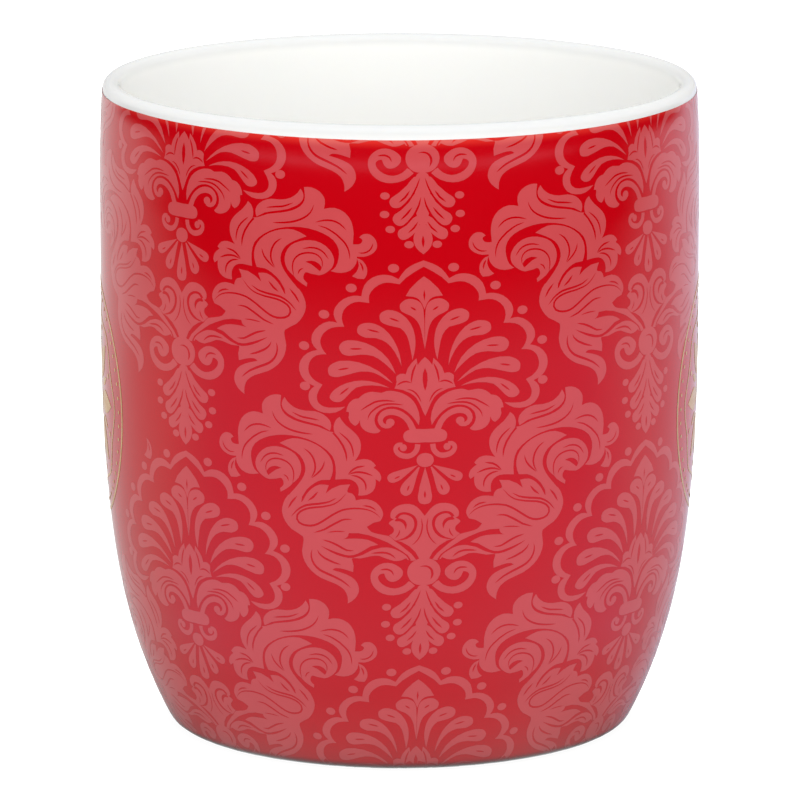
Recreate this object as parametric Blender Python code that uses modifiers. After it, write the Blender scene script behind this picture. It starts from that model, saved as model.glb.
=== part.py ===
"""Bone china mug: a turned cup, a cast handle stuck on with slip, and a printed wrap fired on.

Metres, +Z up. The mug stands on z = 0 with its handle towards +Y, and the origin is the middle of
the whole mug's footprint. Heights and radii below are measured from the table and from the cup's
own axis, which lies in front of the origin by half of the handle's reach.
"""

import math
from dataclasses import dataclass

import bmesh
import bpy
from mathutils import Vector
from mathutils.geometry import interpolate_bezier

MM = 0.001

# Cup, outside
CUP_HEIGHT = 92.5 * MM
BELLY_RADIUS = 42.5 * MM  # the widest radius, which lies high on the cup
BELLY_HEIGHT = 77.0 * MM
MOUTH_RADIUS = 42.0 * MM
BASE_RADIUS = 32.65 * MM  # where the wall's line would meet the table, before the heel is rounded
HEEL_POWER = 4.3  # how late the wall turns under: 2 is an even bowl, more is a straighter side
HEEL_ROUND = 2.1 * MM

# Cup, inside and underneath
WALL = 2.9 * MM  # at the belly
LIP_WALL = 2.4 * MM
FLOOR_TOP = 5.2 * MM
BOWL_DRAW_IN = 8.6 * MM  # how far the inner wall comes in from belly to floor
FLOOR_ROUND = 9.0 * MM
FOOT_WIDTH = 3.0 * MM  # of the flat ring that the mug stands on
FOOT_SLOPE = 1.2 * MM  # how far the ring's inner side leans in
RECESS_DEPTH = 1.6 * MM
RECESS_ROUND = 0.8 * MM

# Printed wrap
PRINT_BELOW_LIP = 1.75 * MM  # bare white band at the mouth
PRINT_THICKNESS = 0.2 * MM
PRINT_GAP = 0.1 * MM  # between the print and the wall that is turned back for it
BAY_WIDTH = 25.0 * MM  # bare strip of china behind the handle

# Handle
HANDLE_REACH = 34.0 * MM  # from the belly to the handle's outer edge
HANDLE_WIDTH = 11.6 * MM
HANDLE_THICKNESS = 6.8 * MM
UPPER_ROOT_HEIGHT = 71.0 * MM
LOWER_ROOT_HEIGHT = 25.0 * MM
CREST_HEIGHT = 54.0 * MM  # of the handle's outermost point
UPPER_RISE = math.radians(9.0)  # the upper root leaves the cup a little upwards
LOWER_RISE = math.radians(17.0)
UPPER_PULL = 21.0 * MM  # how far each end and each side of the crest stays straight
LOWER_PULL = 22.0 * MM
CREST_PULL_UP = 13.0 * MM
CREST_PULL_DOWN = 19.0 * MM
ROOT_FLARE = 1.34  # the roots' section against the grip's
FLARE_LENGTH = 6.0 * MM

# Slip joints
SLIP_THICKNESS = 0.8 * MM
SLIP_BEAD = 0.4 * MM  # how far the slip wells out round the root
SEAT_GAP = 0.3 * MM  # between the slip and what lies on either side of it

# Fineness
CUP_STEPS = 64
WALL_STEPS_BELOW_BELLY = 9
WALL_STEPS_ABOVE_BELLY = 2
HEEL_STEPS = 5
LIP_STEPS = 6
FLOOR_STEPS = 5
HANDLE_STEPS = 18  # on each side of the crest
SECTION_STEPS = 5  # between two quarter points of the handle's section


@dataclass(frozen=True)
class WallLine:
    """One side of the cup's wall as a line of radius against height."""

    belly_radius: float
    mouth_radius: float
    base_radius: float
    base_height: float

    def radius(self, height):
        """A power curve below the belly and a shallow parabola above it."""
        if height < BELLY_HEIGHT:
            share = (BELLY_HEIGHT - height) / (BELLY_HEIGHT - self.base_height)
            return self.belly_radius - (self.belly_radius - self.base_radius) * share**HEEL_POWER
        share = (height - BELLY_HEIGHT) / (CUP_HEIGHT - BELLY_HEIGHT)
        return self.belly_radius - (self.belly_radius - self.mouth_radius) * share**2

    def lean(self, height):
        """The angle by which the wall's outward normal points below level."""
        step = 0.01 * MM
        rise = (self.radius(height + step) - self.radius(height - step)) / (2 * step)
        return math.atan(rise)

    def point(self, height, lift=0.0):
        """The point (radius, height) on the line, moved out along its normal by lift."""
        lean = self.lean(height)
        return self.radius(height) + lift * math.cos(lean), height - lift * math.sin(lean)

    def corner(self, fillet):
        """Tangent height, centre and lean of the arc that rounds the wall into the level at its base."""
        low, high = self.base_height, self.base_height + fillet
        for _ in range(40):
            middle = (low + high) / 2
            centre_height = middle + fillet * math.sin(self.lean(middle))
            low, high = (middle, high) if centre_height < self.base_height + fillet else (low, middle)
        return low, self.point(low, -fillet), self.lean(low)


OUTSIDE = WallLine(BELLY_RADIUS, MOUTH_RADIUS, BASE_RADIUS, 0.0)
INSIDE = WallLine(
    BELLY_RADIUS - WALL, MOUTH_RADIUS - LIP_WALL, BELLY_RADIUS - WALL - BOWL_DRAW_IN, FLOOR_TOP
)
PRINT_DEPTH = PRINT_THICKNESS + PRINT_GAP
PRINT_TOP = CUP_HEIGHT - PRINT_BELOW_LIP


def arc(centre, radius, start, end, steps):
    """Points (radius, height) round an arc in the profile plane, both ends included."""
    turns = [start + (end - start) * i / steps for i in range(steps + 1)]
    return [(centre[0] + radius * math.cos(a), centre[1] + radius * math.sin(a)) for a in turns]


def wall_heights(top, bottom):
    """Heights down a wall from top to bottom, closer together where the wall turns under."""
    above = [top + (BELLY_HEIGHT - top) * i / WALL_STEPS_ABOVE_BELLY for i in range(WALL_STEPS_ABOVE_BELLY)]
    drop = BELLY_HEIGHT - bottom
    steps = WALL_STEPS_BELOW_BELLY
    return above + [BELLY_HEIGHT - drop * math.sqrt(i / steps) for i in range(steps + 1)]


def mesh_object(name, mesh, collection, parent, material=None):
    """Links a mesh as a named object under the cup's axis."""
    obj = bpy.data.objects.new(name, mesh)
    collection.objects.link(obj)
    obj.parent = parent
    if material:
        mesh.materials.append(material)
    return obj


def turned(name, profile, collection, parent, material=None, closed=False, sweep_steps=CUP_STEPS):
    """A profile of (radius, height) points turned round +Z by a Screw modifier."""
    mesh = bpy.data.meshes.new(name)
    count = len(profile)
    edges = [(i, i + 1) for i in range(count - 1)] + ([(count - 1, 0)] if closed else [])
    mesh.from_pydata([(r, 0.0, z) for r, z in profile], edges, [])
    obj = mesh_object(name, mesh, collection, parent, material)
    screw = obj.modifiers.new("turn", "SCREW")
    screw.angle = 2 * math.pi * sweep_steps / CUP_STEPS
    screw.steps = screw.render_steps = sweep_steps
    screw.use_merge_vertices = sweep_steps == CUP_STEPS
    screw.merge_threshold = 0.001 * MM
    screw.use_smooth_shade = True
    return obj


def cup_profile():
    """Down the outside and up the inside, from the floor's centre over the lip to the foot's centre."""
    lip = LIP_WALL / 2
    lip_centre = (MOUTH_RADIUS - lip, CUP_HEIGHT - lip)
    floor_height, floor_centre, floor_lean = INSIDE.corner(FLOOR_ROUND)
    heel_height, heel_centre, heel_lean = OUTSIDE.corner(HEEL_ROUND)

    floor = arc(floor_centre, FLOOR_ROUND, -math.pi / 2, -floor_lean, FLOOR_STEPS)
    inner = [INSIDE.point(z) for z in wall_heights(CUP_HEIGHT - lip, floor_height)[1:-1]]
    rim = arc(lip_centre, lip, math.pi, 0.0, LIP_STEPS)
    bare = [OUTSIDE.point(PRINT_TOP)]
    under_print = [OUTSIDE.point(z, -PRINT_DEPTH) for z in wall_heights(PRINT_TOP, heel_height)]
    heel = arc(heel_centre, HEEL_ROUND, -heel_lean, -math.pi / 2, HEEL_STEPS)

    foot_inner = heel_centre[0] - FOOT_WIDTH
    recess_edge = foot_inner - FOOT_SLOPE
    recess = arc(
        (recess_edge - RECESS_ROUND, RECESS_DEPTH - RECESS_ROUND), RECESS_ROUND, 0.0, math.pi / 2, 3
    )
    underside = [(foot_inner, 0.0)] + recess + [(0.0, RECESS_DEPTH)]
    return [(0.0, FLOOR_TOP)] + floor + inner[::-1] + rim + bare + under_print + heel + underside


def make_cup(collection, parent, material):
    """The cup: floor, wall, rounded lip, rounded heel and a foot ring round a shallow recess."""
    return turned("cup_body", cup_profile(), collection, parent, material)


def make_print(collection, parent, material):
    """The printed wrap: a thin skin level with the bare lip, open behind the handle."""
    step_width = 2 * math.pi * BELLY_RADIUS / CUP_STEPS
    bay_steps = 2 * max(1, round(BAY_WIDTH / step_width / 2))
    heel_height = OUTSIDE.corner(HEEL_ROUND)[0]
    profile = [OUTSIDE.point(z) for z in wall_heights(PRINT_TOP - PRINT_GAP, heel_height + PRINT_DEPTH)]
    wrap = turned(
        "wrap_transfer", profile, collection, parent, material, sweep_steps=CUP_STEPS - bay_steps
    )
    wrap.rotation_euler.z = math.pi / 2 + math.pi * bay_steps / CUP_STEPS
    skin = wrap.modifiers.new("thickness", "SOLIDIFY")
    skin.thickness = PRINT_THICKNESS
    skin.offset = -1.0
    skin.use_even_offset = True
    return wrap


def seat_radius(height):
    """Radius of the bare china that the handle is stuck to."""
    return OUTSIDE.point(height, -PRINT_DEPTH)[0]


def handle_path():
    """The handle's centre line in the plane x = 0, from upper root over the crest to lower root.

    Two Bezier spans meet at the crest, where the line runs straight down. Both ends lie inside the
    wall by its thickness, and are cut back to the wall later.
    """
    upper = Vector((0.0, seat_radius(UPPER_ROOT_HEIGHT) - WALL, UPPER_ROOT_HEIGHT))
    lower = Vector((0.0, seat_radius(LOWER_ROOT_HEIGHT) - WALL, LOWER_ROOT_HEIGHT))
    crest = Vector((0.0, BELLY_RADIUS + HANDLE_REACH - HANDLE_THICKNESS / 2, CREST_HEIGHT))
    upper_knot = upper + UPPER_PULL * Vector((0.0, math.cos(UPPER_RISE), math.sin(UPPER_RISE)))
    lower_knot = lower + LOWER_PULL * Vector((0.0, math.cos(LOWER_RISE), math.sin(LOWER_RISE)))
    above = crest + Vector((0.0, 0.0, CREST_PULL_UP))
    below = crest - Vector((0.0, 0.0, CREST_PULL_DOWN))
    first = interpolate_bezier(upper, upper_knot, above, crest, HANDLE_STEPS + 1)
    second = interpolate_bezier(crest, below, lower_knot, lower, HANDLE_STEPS + 1)
    return first + second[1:]


def flares(path):
    """How much wider the section is at each point: most at the walls, falling off along the path."""
    runs = [0.0]
    for a, b in zip(path, path[1:]):
        runs.append(runs[-1] + (b - a).length)
    nearest = [max(0.0, min(run, runs[-1] - run) - WALL) for run in runs]
    return [1.0 + (ROOT_FLARE - 1.0) * math.exp(-run / FLARE_LENGTH) for run in nearest]


def section_curve(width, thickness, cutters):
    """An ellipse, as the curve that a bevel carries along a path."""
    curve = bpy.data.curves.new("section", "CURVE")
    curve.dimensions = "2D"
    curve.resolution_u = SECTION_STEPS
    spline = curve.splines.new("BEZIER")
    spline.bezier_points.add(3)
    spline.use_cyclic_u = True
    pull = 4 / 3 * (math.sqrt(2) - 1)  # makes four Bezier spans round
    for i, point in enumerate(spline.bezier_points):
        x, y = round(math.cos(i * math.pi / 2)), round(math.sin(i * math.pi / 2))
        point.co = (x * width / 2, y * thickness / 2, 0.0)
        along = Vector((-y * width / 2, x * thickness / 2, 0.0)) * pull
        point.handle_left = point.co - along
        point.handle_right = point.co + along
    obj = bpy.data.objects.new("section", curve)
    obj.hide_render = True
    obj.display_type = "WIRE"
    cutters.objects.link(obj)
    return obj


def swept(name, path, swells, width, thickness, collection, cutters, parent, material=None):
    """A closed solid with an elliptical section carried along path, as a mesh with welded caps."""
    section = section_curve(width, thickness, cutters)
    curve = bpy.data.curves.new(name, "CURVE")
    curve.dimensions = "3D"
    curve.twist_mode = "MINIMUM"
    curve.bevel_mode = "OBJECT"
    curve.bevel_object = section
    curve.use_fill_caps = True
    spline = curve.splines.new("POLY")
    spline.points.add(len(path) - 1)
    for point, place, swell in zip(spline.points, path, swells):
        point.co = (*place, 1.0)
        point.radius = swell
    rail = bpy.data.objects.new(name + "_rail", curve)
    collection.objects.link(rail)
    evaluated = rail.evaluated_get(bpy.context.evaluated_depsgraph_get())
    mesh = bpy.data.meshes.new_from_object(evaluated)
    mesh.name = name
    bpy.data.objects.remove(rail)
    bpy.data.objects.remove(section)

    bm = bmesh.new()
    bm.from_mesh(mesh)
    bmesh.ops.remove_doubles(bm, verts=bm.verts, dist=0.001 * MM)
    bmesh.ops.recalc_face_normals(bm, faces=bm.faces)
    bm.to_mesh(mesh)
    bm.free()
    mesh.materials.clear()
    mesh.shade_smooth()
    return mesh_object(name, mesh, collection, parent, material)


def boolean(obj, cutter, operation):
    """Cuts obj with cutter, or keeps what they share."""
    cut = obj.modifiers.new(operation.lower(), "BOOLEAN")
    cut.object = cutter
    cut.operation = operation
    cut.solver = "EXACT"


def as_cutter(obj):
    """Keeps a cutter out of the render and drawn as wire."""
    obj.hide_render = True
    obj.display_type = "WIRE"
    return obj


def wall_band(name, inner_lift, outer_lift, cutters, parent):
    """A turned band that follows the bare wall between two distances from it."""
    heights = wall_heights(PRINT_TOP, OUTSIDE.corner(HEEL_ROUND)[0])
    outer = [OUTSIDE.point(z, outer_lift - PRINT_DEPTH) for z in heights]
    inner = [OUTSIDE.point(z, inner_lift - PRINT_DEPTH) for z in heights]
    return as_cutter(turned(name, outer + inner[::-1], cutters, parent, closed=True))


def make_handle(collection, cutters, parent, material):
    """The handle: one loop of elliptical section, flared at both roots and cut to the wall's curve."""
    path = handle_path()
    handle = swept(
        "handle", path, flares(path), HANDLE_WIDTH, HANDLE_THICKNESS, collection, cutters, parent, material
    )
    clear = SLIP_THICKNESS + 2 * SEAT_GAP
    boolean(handle, wall_band("handle_seat", -3 * WALL, clear, cutters, parent), "DIFFERENCE")
    return handle


def make_slip_joint(name, height, rise, collection, cutters, parent, material):
    """The bed of slip under one root: a pad that follows the wall and wells out round the root."""
    out = Vector((0.0, math.cos(rise), math.sin(rise)))
    start = Vector((0.0, seat_radius(height) - WALL, height))
    path = [start + out * WALL * share for share in (0.5, 1.0, 2.0)]
    root_width = HANDLE_WIDTH * ROOT_FLARE
    root_thickness = HANDLE_THICKNESS * ROOT_FLARE
    swells = [1.0 + 2 * SLIP_BEAD / root_thickness] * 2 + [1.0]
    pad = swept(name, path, swells, root_width, root_thickness, collection, cutters, parent, material)
    band = wall_band(name + "_bed", SEAT_GAP, SEAT_GAP + SLIP_THICKNESS, cutters, parent)
    boolean(pad, band, "INTERSECT")
    return pad


def material(name, colour, roughness):
    """A glazed surface with its own colour."""
    made = bpy.data.materials.new(name)
    made.use_nodes = True
    surface = made.node_tree.nodes["Principled BSDF"]
    surface.inputs["Base Color"].default_value = (*colour, 1.0)
    surface.inputs["Roughness"].default_value = roughness
    surface.inputs["Metallic"].default_value = 0.0
    return made


def new_collection(name):
    """A collection linked to the scene."""
    made = bpy.data.collections.new(name)
    bpy.context.scene.collection.children.link(made)
    return made


def main():
    """Builds the mug."""
    for obj in list(bpy.data.objects):
        bpy.data.objects.remove(obj)
    mug = new_collection("bone_china_mug")
    cutters = new_collection("cutters")
    axis = bpy.data.objects.new("cup_axis", None)
    axis.location.y = -HANDLE_REACH / 2
    mug.objects.link(axis)
    bpy.context.view_layer.update()

    make_cup(mug, axis, material("bone_china_cup", (0.86, 0.85, 0.81), 0.08))
    make_print(mug, axis, material("red_enamel_print", (0.58, 0.012, 0.023), 0.16))
    make_handle(mug, cutters, axis, material("bone_china_handle", (0.86, 0.85, 0.81), 0.08))
    slip = (0.84, 0.82, 0.77)
    make_slip_joint(
        "upper_slip_joint", UPPER_ROOT_HEIGHT, UPPER_RISE, mug, cutters, axis, material("upper_slip", slip, 0.1)
    )
    make_slip_joint(
        "lower_slip_joint", LOWER_ROOT_HEIGHT, LOWER_RISE, mug, cutters, axis, material("lower_slip", slip, 0.1)
    )
    bpy.context.view_layer.update()


main()
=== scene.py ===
"""A bone china mug: white inside and at the lip, printed round the outside with a red damask.

The cup is turned, the handle is a loop stuck on with slip, and the red print is a thin wrap that stops
short of the handle. Shapes are worked out in millimetres about the cup's axis and put in place at the end.
"""

import logging
from dataclasses import dataclass, field
from enum import Enum
from typing import Callable, Optional, Sequence

import bmesh
import bpy
import numpy as np
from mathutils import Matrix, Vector
from mathutils.geometry import delaunay_2d_cdt


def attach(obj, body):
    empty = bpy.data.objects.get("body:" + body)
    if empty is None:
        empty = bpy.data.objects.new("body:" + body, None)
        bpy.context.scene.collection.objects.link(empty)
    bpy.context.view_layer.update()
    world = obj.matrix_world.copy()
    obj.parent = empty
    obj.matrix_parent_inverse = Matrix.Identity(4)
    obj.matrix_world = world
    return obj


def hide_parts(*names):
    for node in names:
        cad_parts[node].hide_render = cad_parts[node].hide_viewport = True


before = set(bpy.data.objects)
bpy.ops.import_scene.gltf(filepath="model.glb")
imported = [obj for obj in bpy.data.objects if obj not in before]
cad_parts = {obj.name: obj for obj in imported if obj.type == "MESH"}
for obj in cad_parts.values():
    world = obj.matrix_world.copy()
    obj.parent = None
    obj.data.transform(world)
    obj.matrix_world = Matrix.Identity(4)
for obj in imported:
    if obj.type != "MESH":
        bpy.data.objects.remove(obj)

LOG = logging.getLogger("mug")
MM = 0.001
AXIS_PLACE = (0.0, -17.0, 0.0)  # the cup's axis in the row frame, in mm
ROUND = 2 * np.pi

Pair = tuple[float, float]
Stops = tuple[tuple[float, float, float], ...]
Arrays = tuple[np.ndarray, np.ndarray]
Tree = bpy.types.NodeTree
Socket = bpy.types.NodeSocket


class Slot(Enum):
    """The record's material slots."""

    CHINA = "china"
    SLIP = "slip"
    PRINT = "print"
    GILT = "gilt"
    BARE = "bare_china"


class Ink(Enum):
    """What a figure of the damask leaves on the sheet: the lighter red, or the ground red again."""

    LIGHT = "light"
    GROUND = "ground"


class Lift(Enum):
    """How far each coat's face lies from the print's outermost face, in mm."""

    GILT = 0.0
    DAMASK = -0.025
    GROUND = -0.04
    CHINA = -0.05


DEPTH = {Lift.GILT: 0.035, Lift.DAMASK: 0.04, Lift.GROUND: 0.06}  # mm that a print goes in from its face


def rises(value: np.ndarray, start: float, end: float) -> np.ndarray:
    """A value's smooth rise from 0 at start to 1 at end."""
    share = np.clip((value - start) / (end - start), 0, 1)
    return share * share * (3 - 2 * share)


def linear(colour: str) -> tuple[float, float, float, float]:
    """The linear colour of an sRGB hex value.

    Args:
        colour: six hex digits after a hash sign.

    Returns:
        Red, green, blue and an alpha of 1.
    """
    srgb = np.array([int(colour[i : i + 2], 16) for i in (1, 3, 5)]) / 255
    light = np.where(srgb <= 0.04045, srgb / 12.92, ((srgb + 0.055) / 1.055) ** 2.4)
    return (*light.tolist(), 1.0)


def add_node(tree: Tree, kind: str, inputs: Optional[dict] = None, **settings) -> bpy.types.Node:
    """Adds a node with its settings and links.

    Args:
        tree: the node tree.
        kind: the node's type name.
        inputs: for each socket's name or number, a value or the output socket that feeds it.
        settings: the node's own properties.

    Returns:
        The new node.
    """
    made = tree.nodes.new(kind)
    for name, value in settings.items():
        setattr(made, name, value)
    for name, value in (inputs or {}).items():
        if isinstance(value, Socket):
            tree.links.new(value, made.inputs[name])
        else:
            made.inputs[name].default_value = value
    return made


def by_ray(tree: Tree, plain: Socket, in_gloss: Socket, direct: Socket) -> Socket:
    """A shader that changes with the kind of ray that meets it.

    Args:
        tree: the node tree.
        plain: the shader that lights the mug.
        in_gloss: the one that a gloss mirrors.
        direct: the one that the camera sees, also through something clear.

    Returns:
        The shader socket.
    """
    rays = add_node(tree, "ShaderNodeLightPath").outputs
    lighting = add_node(
        tree, "ShaderNodeMixShader", {0: rays["Is Glossy Ray"], 1: plain, 2: in_gloss}
    ).outputs[0]
    straight = add_node(
        tree,
        "ShaderNodeMath",
        {0: rays["Is Camera Ray"], 1: rays["Is Transmission Ray"]},
        operation="MAXIMUM",
    ).outputs[0]
    return add_node(tree, "ShaderNodeMixShader", {0: straight, 1: lighting, 2: direct}).outputs[0]


def new_material(name: str) -> tuple[bpy.types.Material, Tree, bpy.types.Node]:
    """An empty node material.

    Args:
        name: the material's name.

    Returns:
        The material, its tree and its output node.
    """
    made = bpy.data.materials.new(name)
    made.use_nodes = True
    made.node_tree.nodes.clear()
    return made, made.node_tree, add_node(made.node_tree, "ShaderNodeOutputMaterial")


def mottled(tree: Tree, place: Socket, size: float, detail: float, shades: tuple[str, str]) -> Socket:
    """Two shades mixed by noise.

    Args:
        tree: the node tree.
        place: the Object coordinates.
        size: mm from patch to patch.
        detail: the noise's detail.
        shades: both shades as sRGB hex values.

    Returns:
        The colour socket.
    """
    noise = add_node(
        tree, "ShaderNodeTexNoise", {"Vector": place, "Scale": 1 / (size * MM), "Detail": detail}
    )
    first, second = (linear(shade) for shade in shades)
    return add_node(
        tree, "ShaderNodeMix", {"Factor": noise.outputs["Fac"], "A": first, "B": second}, data_type="RGBA"
    ).outputs[2]


def surfaced(tree: Tree, place: Socket, grain: tuple[float, float, float], inputs: dict) -> Socket:
    """A finish's shader over a relief by noise.

    Args:
        tree: the node tree.
        place: the Object coordinates.
        grain: the relief's size and height in mm, and its noise's detail.
        inputs: the shader's own inputs.

    Returns:
        The shader socket.
    """
    size, height, detail = grain
    noise = add_node(
        tree, "ShaderNodeTexNoise", {"Vector": place, "Scale": 1 / (size * MM), "Detail": detail}
    )
    relief = add_node(
        tree, "ShaderNodeBump", {"Height": noise.outputs["Fac"], "Distance": height * MM, "Strength": 1.0}
    )
    normal = relief.outputs["Normal"]
    return add_node(
        tree, "ShaderNodeBsdfPrincipled", {**inputs, "IOR": 1.5, "Normal": normal}
    ).outputs["BSDF"]


@dataclass(frozen=True)
class Glaze:
    """Bone china under a fired, clear feldspar glaze.

    To the eye it is a warm white that light sinks into a little, under a wet, even gloss. The glaze
    pools in ripples several millimetres wide, which bend a reflection without dulling it. Over the lip the
    white is painted cooler and a touch greyer, a painted shade that is less towards both sides.
    """

    name: str
    body: str = "#FDFDFB"  # bone ash makes the body a warm, faintly ivory white
    pooled: str = "#FCFCF9"  # where the glaze lies thicker it is a trace greener
    weak_print_and_painted_lip_shade: str = "#E2E3E3"  # painted shade over the lip: a cooler, greyer white
    lip_shade_from: float = 90.4  # mm above the table
    lip_shade_to: float = 92.2
    lip_shade_side_fade: float = 290.0  # how fast the painted lip shade eases off towards the sides, 1/m2
    drift: float = 28.0  # mm between thicker and thinner glaze
    ripple: float = 7.0  # mm across a ripple of the glaze
    ripple_height: float = 0.004  # mm
    roughness: float = 0.07
    glow: float = 0.12  # how much light passes through the body's skin
    depth: float = 1.6  # mm that this light travels

    def material(self) -> bpy.types.Material:
        """White varied by soft noise, with a painted shade over the lip by height, a rippled gloss and a
        little subsurface light.

        The painted lip shade has the share rise(z) * (1 - k * x^2), with z and x in metres and k its fade
        towards the sides.

        Returns:
            The material.
        """
        made, tree, out = new_material(self.name)
        place = add_node(tree, "ShaderNodeTexCoord").outputs["Object"]
        tint = mottled(tree, place, self.drift, 2.0, (self.body, self.pooled))
        split = add_node(tree, "ShaderNodeSeparateXYZ", {"Vector": place}).outputs
        # painted shade: the white is greyed over the lip by height, less towards the sides
        near_lip = add_node(
            tree,
            "ShaderNodeMapRange",
            {"Value": split["Z"], "From Min": self.lip_shade_from * MM, "From Max": self.lip_shade_to * MM},
            interpolation_type="SMOOTHSTEP",
        ).outputs["Result"]
        squared = add_node(
            tree, "ShaderNodeMath", {0: split["X"], 1: split["X"]}, operation="MULTIPLY"
        ).outputs[0]
        towards_middle = add_node(
            tree, "ShaderNodeMath", {0: squared, 1: -self.lip_shade_side_fade, 2: 1.0}, operation="MULTIPLY_ADD"
        ).outputs[0]
        lip_shade_share = add_node(
            tree, "ShaderNodeMath", {0: near_lip, 1: towards_middle}, operation="MULTIPLY"
        ).outputs[0]
        colour = add_node(
            tree, "ShaderNodeMix", {"Factor": lip_shade_share, "A": tint, "B": linear(self.weak_print_and_painted_lip_shade)}, data_type="RGBA"
        )
        inputs = {
            "Base Color": colour.outputs[2],
            "Roughness": self.roughness,
            "Subsurface Weight": self.glow,
            "Subsurface Radius": (1.0, 0.86, 0.68),
            "Subsurface Scale": self.depth * MM,
        }
        shader = surfaced(tree, place, (self.ripple, self.ripple_height, 1.0), inputs)
        tree.links.new(shader, out.inputs["Surface"])
        return made


@dataclass(frozen=True)
class FiredRed:
    """A red ceramic colour, screen printed on a transfer sheet and fired into the glaze.

    To the eye it is a flat, saturated red under a clear gloss, a little uneven in strength as print is,
    with the faint skin that the covercoat leaves. Just under the bare lip the red is painted brighter and
    warmer over the last two millimetres, a painted glow for the light that comes through the narrow china
    there. Along its lowest edge the red is painted dark, a painted shade that draws a narrow dark line
    round the foot.
    """

    name: str
    colour: str
    weak_print_and_painted_lip_shade: str  # where the print laid down a little less colour
    glow: str  # painted glow: the print's edge painted brighter and warmer, for the light that comes through the narrow china of the lip
    glow_from: float = 89.2  # mm above the table
    side_loss: float = 0.67  # how fast the painted glow sinks out of the print away from the middle, 1/m
    edge: float = 90.95  # mm, where the painted glow is fullest
    painted_foot_shade: str = "#43060A"  # painted shade: the dark red along the print's lowest edge at the foot
    foot_shade_from: float = 0.1  # mm above the table
    foot_shade_to: float = 1.6
    mottle: float = 5.0  # mm between stronger and weaker print
    skin: float = 0.9  # mm across the covercoat's fine unevenness
    skin_height: float = 0.0006  # mm
    roughness: float = 0.06

    def material(self) -> bpy.types.Material:
        """The red mixed with its weaker shade by noise, and with painted glow and painted foot shade by
        height, under gloss.

        The painted glow's share is the rise of z - side_loss * x^2, with z and x in metres.

        Returns:
            The material.
        """
        made, tree, out = new_material(self.name)
        place = add_node(tree, "ShaderNodeTexCoord").outputs["Object"]
        print_colour = mottled(tree, place, self.mottle, 3.0, (self.colour, self.weak_print_and_painted_lip_shade))
        split = add_node(tree, "ShaderNodeSeparateXYZ", {"Vector": place}).outputs
        squared = add_node(
            tree, "ShaderNodeMath", {0: split["X"], 1: split["X"]}, operation="MULTIPLY"
        ).outputs[0]
        lower_at_sides = add_node(
            tree, "ShaderNodeMath", {0: squared, 1: -self.side_loss, 2: split["Z"]}, operation="MULTIPLY_ADD"
        ).outputs[0]
        share = add_node(
            tree,
            "ShaderNodeMapRange",
            {"Value": lower_at_sides, "From Min": self.glow_from * MM, "From Max": self.edge * MM},
            interpolation_type="SMOOTHSTEP",
        )
        # painted glow: the red turned brighter and warmer just under the lip
        lit = add_node(
            tree,
            "ShaderNodeMix",
            {"Factor": share.outputs["Result"], "A": print_colour, "B": linear(self.glow)},
            data_type="RGBA",
        )
        # painted shade: the red darkened over its lowest 1.6 mm, a dark line round the foot
        above_foot = add_node(
            tree,
            "ShaderNodeMapRange",
            {"Value": split["Z"], "From Min": self.foot_shade_from * MM, "From Max": self.foot_shade_to * MM},
            interpolation_type="SMOOTHSTEP",
        )
        foot_shaded = add_node(
            tree,
            "ShaderNodeMix",
            {"Factor": above_foot.outputs["Result"], "A": linear(self.painted_foot_shade), "B": lit.outputs[2]},
            data_type="RGBA",
        )
        inputs = {"Base Color": foot_shaded.outputs[2], "Roughness": self.roughness}
        shader = surfaced(tree, place, (self.skin, self.skin_height, 1.0), inputs)
        tree.links.new(shader, out.inputs["Surface"])
        return made


@dataclass(frozen=True)
class GroundFoot:
    """Bone china with its glaze ground away, where the foot stood on the kiln shelf.

    To the eye it is a dry, chalky white with a fine grit, a touch greyer where the ring has been stood on.
    """

    name: str = "ground bone china foot"
    dry: str = "#EFEBE1"
    worn: str = "#D9D3C6"
    patch: float = 3.0  # mm between dry and worn patches
    grit: float = 0.25  # mm, drawn a little coarser than the real grind so that it shows
    grit_height: float = 0.01  # mm
    roughness: float = 0.62

    def material(self) -> bpy.types.Material:
        """Dry white with worn patches by noise over Object coordinates, and a fine grit in relief.

        Returns:
            The material.
        """
        made, tree, out = new_material(self.name)
        place = add_node(tree, "ShaderNodeTexCoord").outputs["Object"]
        tint = mottled(tree, place, self.patch, 5.0, (self.dry, self.worn))
        inputs = {"Base Color": tint, "Roughness": self.roughness}
        shader = surfaced(tree, place, (self.grit, self.grit_height, 2.0), inputs)
        tree.links.new(shader, out.inputs["Surface"])
        return made


@dataclass(frozen=True)
class BurnishedGold:
    """Bright gold, printed on the fired red and burnished by hand after its own firing.

    To the eye it is a pale, rosy metal with a soft shine, its polish broken by fine rubbing marks.
    """

    name: str = "burnished gold print"
    bright: str = "#E8BD86"
    dull: str = "#D0A268"
    rub: float = 1.6  # mm between rubbing marks
    roughness: float = 0.28
    unevenness: float = 0.08  # how far the roughness strays on either side

    def material(self) -> bpy.types.Material:
        """Two golds mixed by noise stretched round the cup, which also varies the polish.

        Returns:
            The material.
        """
        made, tree, out = new_material(self.name)
        place = add_node(tree, "ShaderNodeTexCoord").outputs["Object"]
        stretched = add_node(tree, "ShaderNodeMapping", {"Vector": place, "Scale": (1.0, 0.25, 1.0)})
        marks = add_node(
            tree,
            "ShaderNodeTexNoise",
            {"Vector": stretched.outputs["Vector"], "Scale": 1 / (self.rub * MM), "Detail": 4.0},
        )
        tint = add_node(
            tree,
            "ShaderNodeMix",
            {"Factor": marks.outputs["Fac"], "A": linear(self.bright), "B": linear(self.dull)},
            data_type="RGBA",
        )
        polish = add_node(
            tree,
            "ShaderNodeMapRange",
            {
                "Value": marks.outputs["Fac"],
                "To Min": self.roughness - self.unevenness,
                "To Max": self.roughness + self.unevenness,
            },
        )
        shader = add_node(
            tree,
            "ShaderNodeBsdfPrincipled",
            {"Base Color": tint.outputs[2], "Metallic": 1.0, "Roughness": polish.outputs["Result"]},
        )
        tree.links.new(shader.outputs["BSDF"], out.inputs["Surface"])
        return made


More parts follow.
